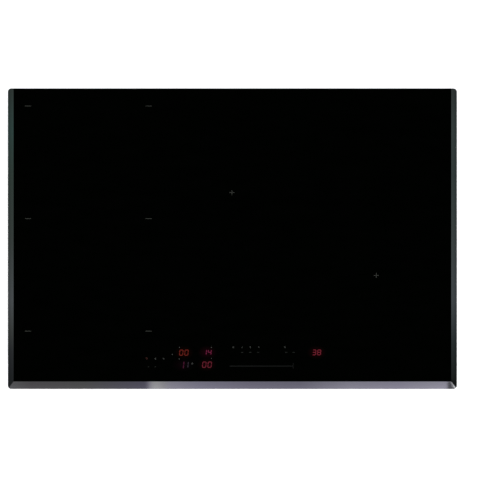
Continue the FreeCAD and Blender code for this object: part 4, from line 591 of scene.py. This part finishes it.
# %% [markdown]
# ## Glass-ceramic
# The panel is rolled glass-ceramic, polished and dyed almost black. A see-through glass shader
# would show the coils, which the dye hides, so it is an opaque gloss: it reflects about 4.5 % of
# what is above it and swallows the rest. Its texture is a faint waviness from the rollers and a
# trace of polish marks. It glows a little round each display, since red light scatters inside it.

# %% Glass finish
ROLLER_WAVE = 45 * MM
POLISH_MARK = 18 * MM
GLOW_REACH = Vector((17, 12, 12)) * MM
GLOW_GAIN = 0.05


def black_glass_ceramic():
    """Near-black polished glass, with a red glow round each lit display."""
    material, tree, where = new_finish("black_glass_ceramic")
    waves = add_node(
        tree, "ShaderNodeTexNoise", {"Vector": where, "Scale": 1 / ROLLER_WAVE, "Detail": 1.0}
    ).outputs["Fac"]
    wiped = add_node(tree, "ShaderNodeMapping", {"Vector": where, "Scale": (0.3, 1, 1)})
    polish = add_node(
        tree,
        "ShaderNodeTexNoise",
        {"Vector": wiped.outputs["Vector"], "Scale": 1 / POLISH_MARK, "Detail": 5.0},
    ).outputs["Fac"]
    glow = None
    for _, place, colour, _ in DISPLAYS.values():
        centre = on_glass(*place)
        sockets = {
            "Vector": where,
            "Location": [-middle / reach for middle, reach in zip(centre, GLOW_REACH)],
            "Scale": [1 / reach for reach in GLOW_REACH],
        }
        near = add_node(tree, "ShaderNodeMapping", sockets).outputs["Vector"]
        ball = add_node(
            tree, "ShaderNodeTexGradient", {"Vector": near}, gradient_type="SPHERICAL"
        ).outputs["Fac"]
        red = linear(colour, GLOW_GAIN)[:3]
        halo = add_node(
            tree, "ShaderNodeVectorMath", {0: red, "Scale": ball}, operation="SCALE"
        ).outputs["Vector"]
        if glow is not None:
            halo = add_node(
                tree, "ShaderNodeVectorMath", {0: glow, 1: halo}, operation="ADD"
            ).outputs["Vector"]
        glow = halo
    patterned(
        tree, polish, ("#010201", "#020302"), (0.02, 0.045), waves, 0.004,
        IOR=1.54, Emission_Color=glow, Emission_Strength=1.0,
    )
    return material


finishes["glass_ceramic"] = black_glass_ceramic()
print(len(finishes), "finishes, one for each slot")

# %% [markdown]
# ## Dress the solid parts
# Each solid part already names its material slot. The parts could be painted one by one, but the
# slots say it all: a plain import material is swapped for the finish of the same name.

# %% Give every part its finish
dressed = 0
for name, part in sorted(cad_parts.items()):
    for place in part.material_slots:
        wanted = place.material.name.split(".")[0]
        place.material = finishes[wanted]
        dressed += 1
print(dressed, "part surfaces dressed")

# %% [markdown]
# ## Coil springs
# A coil spring presses each temperature sensor against the glass. When the sensor is pushed down,
# the spring stays on its seat and gets shorter. A new helix would only repeat the solid one, so a
# copy of that is merged, stands for the solid and rides on the cooktop with the rigid parts.

# %% Coil springs
WELD_REACH = 0.001 * MM
SMOOTH_ANGLE = math.radians(40)
for coil in ("rear_left", "front_left", "middle", "right"):
    start_clean()
    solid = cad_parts[f"sensor_spring_{coil}"]
    spring = bpy.data.objects.new("spring", solid.data.copy())
    bpy.context.scene.collection.objects.link(spring)
    pick(spring, "faces", lambda at, way: True)
    bpy.ops.mesh.remove_doubles(threshold=WELD_REACH)
    bpy.ops.mesh.normals_make_consistent(inside=False)
    bpy.ops.object.mode_set(mode="OBJECT")
    finished(spring, f"coil_spring_{coil}", finishes["spring_wire"])
    bpy.ops.object.shade_smooth_by_angle(angle=SMOOTH_ANGLE)
    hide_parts(f"sensor_spring_{coil}")
    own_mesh(spring)

# %% [markdown]
# ## Ink on the glass
# The cooking-zone marks are screen-printed in grey ceramic ink and fired into the surface. They
# could be painted into the glass finish, but real ink is a thin, slightly rough layer, so each mark
# is a thin piece with its own finish. The touch marks are finer and fainter.

# %% Ink finishes
INK_THICKNESS = 0.06 * MM
INK_SUNK = 0.01 * MM


def fired_ink(name, dark, light):
    """Slightly rough ink; its low IOR stands for the black that shows through it."""
    return grained(name, dark, light, 0.8, (0.5, 0.7), 0.01, IOR=1.3)


zone_ink = fired_ink("fired_grey_ink", "#373934", "#42443e")
cross_ink = fired_ink("fired_light_ink", "#454742", "#53554f")
key_ink = fired_ink("fired_white_ink", "#4e504d", "#5e605c")
power_ink = fired_ink("fired_red_ink", "#4a2622", "#5a302b")
faint_ink = fired_ink("thin_grey_ink", "#010201", "#030503")
label_ink = fired_ink("dim_grey_ink", "#1a1d19", "#242823")
print("ink is", INK_THICKNESS / MM, "mm thick")

# %% [markdown]
# ## Printed signs
# Every printed sign is made of rounded bars and rings, so two small makers replace a drawing of
# each. A bar is a thin block with its upright edges bevelled. A ring is a disc, inset by the width
# of the stroke, opened, and raised to the thickness of the ink. Both sink a little into the glass,
# so that no gap shows.

# %% Printed bars and rings
UPRIGHT = 0.9  # an edge or normal whose rise is more than this stands upright
BAR_ROUNDING = 0.45  # as a share of the bar's smaller side
RING_SIDES = 32


def flat_bar(middle, length_mm, stroke_mm, cut, segments):
    """A thin block of ink thickness whose four upright edges are bevelled by a cut."""
    start_clean()
    bpy.ops.mesh.primitive_cube_add(size=1, location=middle)
    bar = bpy.context.object
    bar.scale = (length_mm * MM, stroke_mm * MM, INK_THICKNESS)
    bpy.ops.object.transform_apply(location=False, rotation=False, scale=True)
    pick(bar, "edges", lambda at, way: abs(way.z) > UPRIGHT)
    bpy.ops.mesh.bevel(offset=cut, segments=segments)
    bpy.ops.object.mode_set(mode="OBJECT")
    return bar


def printed_bar(x_mm, front_mm, width_mm, height_mm):
    """A printed bar with rounded ends."""
    middle = on_glass(x_mm, front_mm) + Vector((0, 0, INK_THICKNESS / 2 - INK_SUNK))
    cut = BAR_ROUNDING * min(width_mm, height_mm) * MM
    return flat_bar(middle, width_mm, height_mm, cut, segments=3)


def printed_ring(x_mm, front_mm, radius_mm, stroke_mm):
    """A printed ring: a disc, inset by the stroke, opened and raised."""
    start_clean()
    base = on_glass(x_mm, front_mm) - Vector((0, 0, INK_SUNK))
    bpy.ops.mesh.primitive_circle_add(
        vertices=RING_SIDES, radius=radius_mm * MM, fill_type="NGON", location=base
    )
    ring = bpy.context.object
    pick(ring, "faces", lambda at, way: True)
    bpy.ops.mesh.inset(thickness=stroke_mm * MM, depth=0)
    bpy.ops.mesh.delete(type="FACE")
    bpy.ops.mesh.select_all(action="SELECT")
    bpy.ops.mesh.extrude_region_move(TRANSFORM_OT_translate={"value": (0, 0, INK_THICKNESS)})
    bpy.ops.mesh.select_all(action="SELECT")
    bpy.ops.mesh.normals_make_consistent(inside=False)
    bpy.ops.object.mode_set(mode="OBJECT")
    return ring


print("bars are rounded by", BAR_ROUNDING, "of their smaller side")

# %% [markdown]
# ## Cooking-zone marks
# Short dashes mark the corners of the joined zone at the left, and a thin cross marks the middle
# of each round zone. Six dashes could be one array, but they stand on two columns and three rows,
# which a loop over both says plainly.

# %% Zone dashes and crosses
DASH_SIZE = (10.9, 1.05)
DASH_COLUMNS = (-354.9, -145.4)
DASH_ROWS = (491.4, 295.9, 100.5)
CROSS_ARM = 9.0
CROSS_STROKE = 0.75
CROSSES = {"zone_cross_middle": (-0.8, 341.0), "zone_cross_right": (250.0, 197.2)}
dashes = [printed_bar(x, front, *DASH_SIZE) for x in DASH_COLUMNS for front in DASH_ROWS]
finished(joined(dashes), "zone_dashes", zone_ink)
for name, place in CROSSES.items():
    arms = [
        printed_bar(*place, CROSS_ARM, CROSS_STROKE),
        printed_bar(*place, CROSS_STROKE, CROSS_ARM),
    ]
    finished(joined(arms), name, cross_ink)

# %% [markdown]
# ## Touch marks
# The keys are small generic signs: a ring for on and off, a ring over a block for the child lock,
# two bars for pause, and dots that say which zone a display belongs to. Fonts would bring curves
# that are finer than the ink can print, so each sign is put together from bars and rings.

# %% Touch marks
def zone_key(x, front):
    """Small block that marks a zone's key."""
    return [printed_bar(x, front, 1.5, 1.5)]


def power_key(x, front):
    """Ring with an upright bar through its top."""
    return [printed_ring(x, front, 1.5, 0.45), printed_bar(x, front + 1.1, 0.5, 1.8)]


def lock_key(x, front):
    """Block under a small ring."""
    return [printed_bar(x, front - 0.5, 2.2, 1.4), printed_ring(x, front + 0.5, 0.95, 0.35)]


def pause_key(x, front):
    """Two upright bars."""
    return [printed_bar(x - 0.6, front, 0.6, 2.2), printed_bar(x + 0.6, front, 0.6, 2.2)]


def timer_key(x, front):
    """Ring with two hands."""
    return [
        printed_ring(x, front, 1.4, 0.4),
        printed_bar(x, front + 0.5, 0.35, 1.1),
        printed_bar(x + 0.35, front, 0.9, 0.35),
    ]


def heat_key(x, front):
    """Short bar over a dot."""
    return [printed_bar(x, front + 0.4, 2.2, 0.7), printed_bar(x, front - 0.8, 0.8, 0.8)]


marks = {
    "touch_zone_keys": (
        zone_key,
        key_ink,
        [(-92.0, 72.4), (-36.4, 72.4), (-104.2, 60.2), (-92.4, 52.4), (-36.5, 53.0)],
    ),
    "touch_power_key": (power_key, power_ink, [(-148.9, 53.2)]),
    "touch_lock_key": (lock_key, key_ink, [(-133.7, 52.6)]),
    "touch_pause_key": (pause_key, key_ink, [(-119.3, 52.8)]),
    "touch_timer_keys": (timer_key, key_ink, [(1.6, 72.4), (91.3, 72.8)]),
    "touch_heat_keys": (heat_key, key_ink, [(16.9, 72.4), (31.1, 72.8), (45.6, 72.8)]),
}
for name, (sign, ink, places) in marks.items():
    signs = [bar for place in places for bar in sign(*place)]
    finished(joined(signs), name, ink)

# %% [markdown]
# ## Slider
# Power is set by sliding a finger along a faint printed line with a tick at its end. Short strokes
# above it stand for the labels of the steps, because lettering this small reads as a stroke.

# %% Slider and key labels
SLIDER = (50.5, 39.8, 111.0, 1.7)  # place, then width and height
SLIDER_TICK = (105.6, 40.2, 1.1, 10.0)
slider = [printed_bar(*SLIDER), printed_bar(*SLIDER_TICK)]
finished(joined(slider), "slider_line", faint_ink)
LABEL_ROWS = (  # distance from the front edge, size of the strokes, their places across
    (63.7, (4.2, 1.1), (16.9, 30.9, 44.8, 93.6, 106.4)),
    (38.6, (2.6, 1.0), (-145.9, -133.7)),
)
labels = [printed_bar(x, front, *size) for front, size, places in LABEL_ROWS for x in places]
finished(joined(labels), "key_labels", label_ink)

# %% [markdown]
# ## Lit digits
# Each display shows seven-segment digits. A text object would need a font with the right slant and
# gaps; a real display has seven bars with pointed ends. So one bar is modelled, then copied, turned
# and slanted. Real segments are never quite even, so their light varies a little.

# %% Lit segment
DIGIT_WIDTH = 5.6
DIGIT_HEIGHT = 9.0
DIGIT_STEP = 9.0
STROKE = 1.35
POINT_CUT = 0.42  # how much of the stroke each point is cut by
CORNER_GAPS = (0.35, 0.25)  # how much of the stroke a level and an upright segment leave free
LIGHT_SPOT = 2.5 * MM
LIGHT_GAINS = (0.8, 1.15)
SLANT = math.radians(6)
SEGMENTS = {  # which side each segment is on: (across, up, turned upright)
    "a": (0, 0.5, False),
    "b": (0.5, 0.25, True),
    "c": (0.5, -0.25, True),
    "d": (0, -0.5, False),
    "e": (-0.5, -0.25, True),
    "f": (-0.5, 0.25, True),
    "g": (0, 0, False),
}
LIT = {"0": "abcdef", "1": "bc", "3": "abcdg", "4": "bcfg", "8": "abcdefg"}


def lit_segment(length_mm):
    """A flat bar with pointed ends, lying along X at the origin."""
    return flat_bar((0, 0, 0), length_mm, STROKE, POINT_CUT * STROKE * MM, segments=1)


def lit_finish(name, colour):
    """Red light of the segments, a little uneven."""
    material, tree, where = new_finish(name)
    noise = add_node(
        tree, "ShaderNodeTexNoise", {"Vector": where, "Scale": 1 / LIGHT_SPOT}
    ).outputs["Fac"]
    stops = [(end, linear(colour, gain)) for end, gain in zip(TONE_ENDS, LIGHT_GAINS)]
    light = add_node(tree, "ShaderNodeValToRGB", {"Fac": noise}, stops)
    dress(
        tree,
        Base_Color=linear("#100505"),
        Roughness=0.3,
        IOR=1.5,
        Emission_Color=light.outputs["Color"],
        Emission_Strength=1.0,
    )
    return material


print("digits are", DIGIT_WIDTH, "by", DIGIT_HEIGHT, "mm")

# %% [markdown]
# ## Setting the digits
# Each digit is a choice of the seven segments. Every copy could be moved with operators, but one
# matrix says it all: turned, moved to its side of the digit, leant over, sized and set on the
# glass. A display's segments are then joined into one piece with its own light.

# %% Lit displays
across = lit_segment(DIGIT_WIDTH - CORNER_GAPS[0] * STROKE)
upright = lit_segment(DIGIT_HEIGHT / 2 - CORNER_GAPS[1] * STROKE)
for name, (words, place, colour, size) in DISPLAYS.items():
    bars = []
    for index, digit in enumerate(words):
        middle = on_glass(place[0] + (index - (len(words) - 1) / 2) * DIGIT_STEP * size, place[1])
        for letter in LIT[digit]:
            side, up, is_upright = SEGMENTS[letter]
            pattern = upright if is_upright else across
            bar = pattern.copy()
            bar.data = pattern.data.copy()
            bpy.context.scene.collection.objects.link(bar)
            turn = Matrix.Rotation(math.pi / 2, 4, "Z") if is_upright else Matrix.Identity(4)
            lean = Matrix.Identity(4)
            lean[0][1] = math.tan(SLANT)
            offset = (side * DIGIT_WIDTH * MM, up * DIGIT_HEIGHT * MM, INK_THICKNESS / 2 - INK_SUNK)
            shift = Matrix.Translation(offset)
            grow = Matrix.Diagonal((size, size, 1, 1))
            bar.data.transform(Matrix.Translation(middle) @ grow @ lean @ shift @ turn)
            bars.append(bar)
    finished(joined(bars), name, lit_finish("lit_" + name, colour))
for pattern in (across, upright):
    bpy.data.objects.remove(pattern)

DEGREE_SIGN = (-69.6, 44.4, 1.4, 0.6)  # place, then radius and stroke
finished(printed_ring(*DEGREE_SIGN), "digits_degree_sign", key_ink)

# %% [markdown]
# ## Rating plate
# Such an appliance carries a foil plate under its floor. Here it is blank: a thin aluminium sheet
# with rounded corners and an embossed border. Two insets make the border, where a bump in the
# finish would vanish at a low angle.

# %% Blank rating plate
PLATE_SIZE = Vector((96, 48, 0.15)) * MM
PLATE_CENTRE = Vector((0, -68 * MM, -PLATE_SIZE.z / 2))
PLATE_CORNER = 4 * MM
BORDER_STEPS = ((3.0 * MM, 0.0), (0.5 * MM, 0.08 * MM))  # inset by, then pressed in by
start_clean()
bpy.ops.mesh.primitive_cube_add(size=1, location=PLATE_CENTRE)
plate = bpy.context.object
plate.scale = PLATE_SIZE
bpy.ops.object.transform_apply(location=False, rotation=False, scale=True)
pick(plate, "edges", lambda at, way: abs(way.z) > UPRIGHT)
bpy.ops.mesh.bevel(offset=PLATE_CORNER, segments=5)
for border, drop in BORDER_STEPS:
    pick(plate, "faces", lambda at, way: way.z < -UPRIGHT and at.xy.length < 1 * MM)
    bpy.ops.mesh.inset(thickness=border, depth=-drop)
bpy.ops.object.mode_set(mode="OBJECT")
finished(plate, "rating_plate", finishes["plate_aluminium"])

# %% [markdown]
# ## Floor
# The object stands on a plain white floor, lit so brightly that its shadow almost vanishes. A
# curved backdrop could do that too, but a wide floor that glows a little has no edge to hide. It
# is one-sided, so that the underside can be looked at as well.

# %% Floor
FLOOR_SIZE = 60.0
FLOOR_DROP = 0.4 * MM  # leaves room for the rating plate
FLOOR_GLOW = 0.7
start_clean()
bpy.ops.mesh.primitive_plane_add(size=FLOOR_SIZE, location=(0, 0, -FLOOR_DROP))
floor = bpy.context.object
floor.name = "studio_floor"
bpy.ops.object.transform_apply(location=True, rotation=True, scale=True)
floor_finish, floor_tree, _ = new_finish("white_floor")
dress(
    floor_tree,
    Base_Color=linear("#f2f2f2"),
    Roughness=0.9,
    Specular_IOR_Level=0.0,
    Emission_Color=linear("#ffffff"),
    Emission_Strength=FLOOR_GLOW,
)
see_through = add_node(floor_tree, "ShaderNodeBsdfTransparent")
from_below = add_node(floor_tree, "ShaderNodeNewGeometry").outputs["Backfacing"]
one_sided = add_node(
    floor_tree,
    "ShaderNodeMixShader",
    {
        0: from_below,
        1: floor_tree.nodes["Principled BSDF"].outputs["BSDF"],
        2: see_through.outputs["BSDF"],
    },
)
floor_output = floor_tree.nodes["Material Output"]
floor_tree.links.new(one_sided.outputs["Shader"], floor_output.inputs["Surface"])
floor.data.materials.append(floor_finish)
print("floor is", floor.dimensions.x, "m wide")

# %% [markdown]
# ## Sky
# A glossy black panel mirrors what is above it, and an even sky would turn it grey. So the sky is
# bright at the horizon, where it lights the sides of the casing, and dark overhead.

# %% Sky
world = bpy.data.worlds.new("studio")
bpy.context.scene.world = world
world.use_nodes = True
sky = world.node_tree
direction = add_node(sky, "ShaderNodeTexCoord").outputs["Generated"]
height = add_node(sky, "ShaderNodeSeparateXYZ", {"Vector": direction}).outputs["Z"]
SKY_STRENGTH = 0.9
SKY_STOPS = [(0.0, "#f4f6f8"), (0.12, "#d3d7dc"), (0.4, "#8b8f95"), (0.78, "#020202")]
sky_stops = [(rise, linear(tone)) for rise, tone in SKY_STOPS]
fade = add_node(sky, "ShaderNodeValToRGB", {"Fac": height}, sky_stops)
sky.links.new(fade.outputs["Color"], sky.nodes["Background"].inputs["Color"])
sky.nodes["Background"].inputs["Strength"].default_value = SKY_STRENGTH
print("sky has", len(SKY_STOPS), "tones")

# %% [markdown]
# ## Soft boxes
# Four large soft lights stand round the object and give its sides their shape. One lamp overhead
# would be simpler, but the panel would mirror it; these are low enough not to show from above.

# %% Soft boxes
SOFT_BOX_DISTANCE = 2.4
SOFT_BOX_RISE = 0.9  # height as a share of the distance
SOFT_BOX_SIZE = (1.5, 0.9)
SOFT_BOX_WATTS = {35: 26, 145: 18, 235: 22, 325: 18}  # by direction in degrees
for azimuth, watts in SOFT_BOX_WATTS.items():
    turn = math.radians(azimuth)
    place = Vector((math.sin(turn), -math.cos(turn), SOFT_BOX_RISE)) * SOFT_BOX_DISTANCE
    bpy.ops.object.light_add(type="AREA", location=place)
    soft_box = bpy.context.object
    soft_box.data.shape = "RECTANGLE"
    soft_box.data.size, soft_box.data.size_y = SOFT_BOX_SIZE
    soft_box.data.energy = watts
    soft_box.rotation_euler = place.to_track_quat("Z", "Y").to_euler()
    soft_box.visible_camera = False
    print("soft box at", azimuth, "degrees,", watts, "W")

# %% [markdown]
# ## Light cards over the bevels
# A ground bevel is a narrow mirror that leans outwards, so from above it shows one thin strip of
# the studio. Its shades could be painted on the glass, but a real bevel changes with the point of
# view. So each strip is found by reflecting the line of sight in the bevel, and a card is hung just
# there, whose own shading then shows in the bevel.

# %% Find what a bevel mirrors
CARD_HEIGHT = 1.0
GLASS_REFLECTANCE = 0.0452


def mirrored_spot(point, normal):
    """Where the camera's line of sight meets the card height after it is reflected at a point."""
    to_camera = (camera.location - point).normalized()
    onward = 2 * to_camera.dot(normal) * normal - to_camera
    return point + onward * (CARD_HEIGHT / onward.z)


def light_card(name, corners, normal, finish):
    """Hang a card whose four corners are the mirror images of four points on a bevel."""
    start_clean()
    bpy.ops.mesh.primitive_plane_add(size=1)
    card = bpy.context.object
    card.name = name
    for vertex, corner in zip(card.data.vertices, corners):
        vertex.co = mirrored_spot(Vector((*corner, GLASS_TOP)), normal)
    card.data.materials.append(finish)
    card.visible_camera = False
    print(name, [round(size, 3) for size in card.dimensions])


def card_finish(name, tones, low, high):
    """Start a card's glow: its material, tree, place on the card, and the colour along it."""
    material = bpy.data.materials.new(name)
    material.use_nodes = True
    tree = material.node_tree
    tree.nodes.clear()
    on_card = add_node(tree, "ShaderNodeTexCoord").outputs["UV"]
    place = add_node(tree, "ShaderNodeSeparateXYZ", {"Vector": on_card})
    stops = [((at_mm * MM - low) / (high - low), linear(tone)) for at_mm, tone in tones]
    ramp = add_node(tree, "ShaderNodeValToRGB", {"Fac": place.outputs["X"]}, stops)
    return material, tree, place, ramp.outputs["Color"]


def let_glow(tree, colour):
    """Send the colour out so strongly that the glass, which returns little, shows it whole."""
    glow = {"Color": colour, "Strength": 1 / GLASS_REFLECTANCE}
    emission = add_node(tree, "ShaderNodeEmission", glow).outputs["Emission"]
    add_node(tree, "ShaderNodeOutputMaterial", {"Surface": emission})


print("glass returns", GLASS_REFLECTANCE, "of the light")

# %% [markdown]
# ## Card of the front bevel
# The front bevel is the widest and brightest. It is dim at its left, steps up to a bright spot and
# goes on in lilac grey, and a slanting glint marks the right corner. A row of small lamps would
# give spots, so one colour ramp along the card holds the tones.

# %% Front card
FACET_DROP = 2.5 * MM
FRONT_FACET = 13.0 * MM
SIDE_FACET = 10.0 * MM
CARD_MARGIN = 14.0 * MM
GLINT_START = 385.5  # mm right of the middle, where the glint begins at the front edge
GLINT_SLANT = 0.42  # how fast its line leans inwards across the bevel
OUTER_LINE, INNER_LINE = 1.0, 9.0  # mm across the bevel between which it darkens
OUTER_GAIN, INNER_GAIN = 1.14, 0.94
front_normal = Vector((0, -FACET_DROP, FRONT_FACET)).normalized()
half_length = glass_high.x + CARD_MARGIN
front_near = FRONT_EDGE - CARD_MARGIN
front_far = FRONT_EDGE + FRONT_FACET + CARD_MARGIN
FRONT_TONES = [  # mm right of the middle, and the tone seen there
    (-392, "#545557"), (-350, "#4a484b"), (-260, "#4a4a4b"), (-150, "#4d4b59"),
    (-146.6, "#666470"), (-143, "#7d7b85"), (-139.6, "#8c8b91"), (-134, "#929295"),
    (-127, "#8f8e92"), (-120, "#858489"), (-108, "#7f7d89"), (-60, "#737181"),
    (30, "#696675"), (118, "#666472"), (200, "#7d7b88"), (290, "#7f7c8c"),
    (345, "#878592"), (372.8, "#8b8997"), (375.0, "#3b3b40"), (392, "#3f3f44"),
]
front_finish, tree, place, base = card_finish(
    "front_card", FRONT_TONES, -half_length, half_length
)
across_mm = add_node(
    tree,
    "ShaderNodeMath",
    {0: place.outputs["Y"], 1: (front_far - front_near) / MM, 2: -CARD_MARGIN / MM},
    operation="MULTIPLY_ADD",
).outputs["Value"]
along_mm = add_node(
    tree,
    "ShaderNodeMath",
    {0: place.outputs["X"], 1: 2 * half_length / MM, 2: -half_length / MM},
    operation="MULTIPLY_ADD",
).outputs["Value"]
slanted_mm = add_node(
    tree,
    "ShaderNodeMath",
    {0: across_mm, 1: GLINT_SLANT, 2: along_mm},
    operation="MULTIPLY_ADD",
).outputs["Value"]
glint = add_node(
    tree,
    "ShaderNodeMapRange",
    {"Value": slanted_mm, "From Min": GLINT_START, "From Max": GLINT_START + 1},
).outputs["Result"]
lift = add_node(
    tree,
    "ShaderNodeMapRange",
    {
        "Value": across_mm,
        "From Min": OUTER_LINE,
        "From Max": INNER_LINE,
        "To Min": OUTER_GAIN,
        "To Max": INNER_GAIN,
    },
).outputs["Result"]
lifted = add_node(
    tree, "ShaderNodeVectorMath", {0: base, "Scale": lift}, operation="SCALE"
).outputs["Vector"]
with_glint = add_node(
    tree,
    "ShaderNodeMix",
    {MIX_FACTOR: glint, MIX_FIRST: lifted, MIX_SECOND: linear("#d4d5d8")},
    data_type="RGBA",
).outputs[MIX_RESULT]
let_glow(tree, with_glint)
corners = [(x, y) for y in (front_near, front_far) for x in (-half_length, half_length)]
light_card("front_light_card", corners, front_normal, front_finish)

# %% [markdown]
# ## Cards of the side bevels
# The side bevels are darker: each fades from grey near the front third to almost black at the
# front corner, and its inner half is a little lighter. They could share one card behind the
# camera, but their tones differ, so one loop hangs two.

# %% Side cards
depth_low = glass_low.y - CARD_MARGIN
depth_high = glass_high.y + CARD_MARGIN
HALF_LINE = 0.5  # share of the card where the inner half of the bevel ends
HALF_BLUR = 0.06
INNER_HALF_GAIN, OUTER_HALF_GAIN = 1.18, 0.86
SIDE_TONES = {  # mm behind the middle, and the tone seen there, on the left and on the right
    -1: [
        (-262, "#1a1c1d"), (-229, "#1f2123"), (-195, "#26282a"), (-160, "#343736"),
        (-107, "#424648"), (0, "#323836"), (110, "#2c3632"), (190, "#2b3c39"),
        (262, "#2a302e"),
    ],
    1: [
        (-262, "#0c0d0d"), (-240, "#191c1b"), (-180, "#23292a"), (-107, "#3a3f42"),
        (0, "#353b3b"), (110, "#2d3534"), (190, "#2f3736"), (262, "#2a2f2e"),
    ],
}
for side, tones in SIDE_TONES.items():
    side_name = "left" if side < 0 else "right"
    side_finish, tree, place, base = card_finish(
        f"side_card_{side_name}", tones, depth_low, depth_high
    )
    inwards = add_node(
        tree,
        "ShaderNodeMapRange",
        {
            "Value": place.outputs["Y"],
            "From Min": HALF_LINE,
            "From Max": HALF_LINE + HALF_BLUR,
            "To Min": INNER_HALF_GAIN,
            "To Max": OUTER_HALF_GAIN,
        },
    ).outputs["Result"]
    shaded = add_node(
        tree, "ShaderNodeVectorMath", {0: base, "Scale": inwards}, operation="SCALE"
    ).outputs["Vector"]
    let_glow(tree, shaded)
    normal = Vector((side * FACET_DROP, 0, SIDE_FACET)).normalized()
    inner = side * (glass_high.x - SIDE_FACET - CARD_MARGIN)
    outer = side * (glass_high.x + CARD_MARGIN)
    corners = [(x, y) for x in (inner, outer) for y in (depth_low, depth_high)]
    light_card(f"{side_name}_light_card", corners, normal, side_finish)

# %% [markdown]
# ## Finish
# The view transform is the plain one, so that the hex colours come out as written.

# %% Finish
bpy.context.scene.view_settings.view_transform = "Standard"
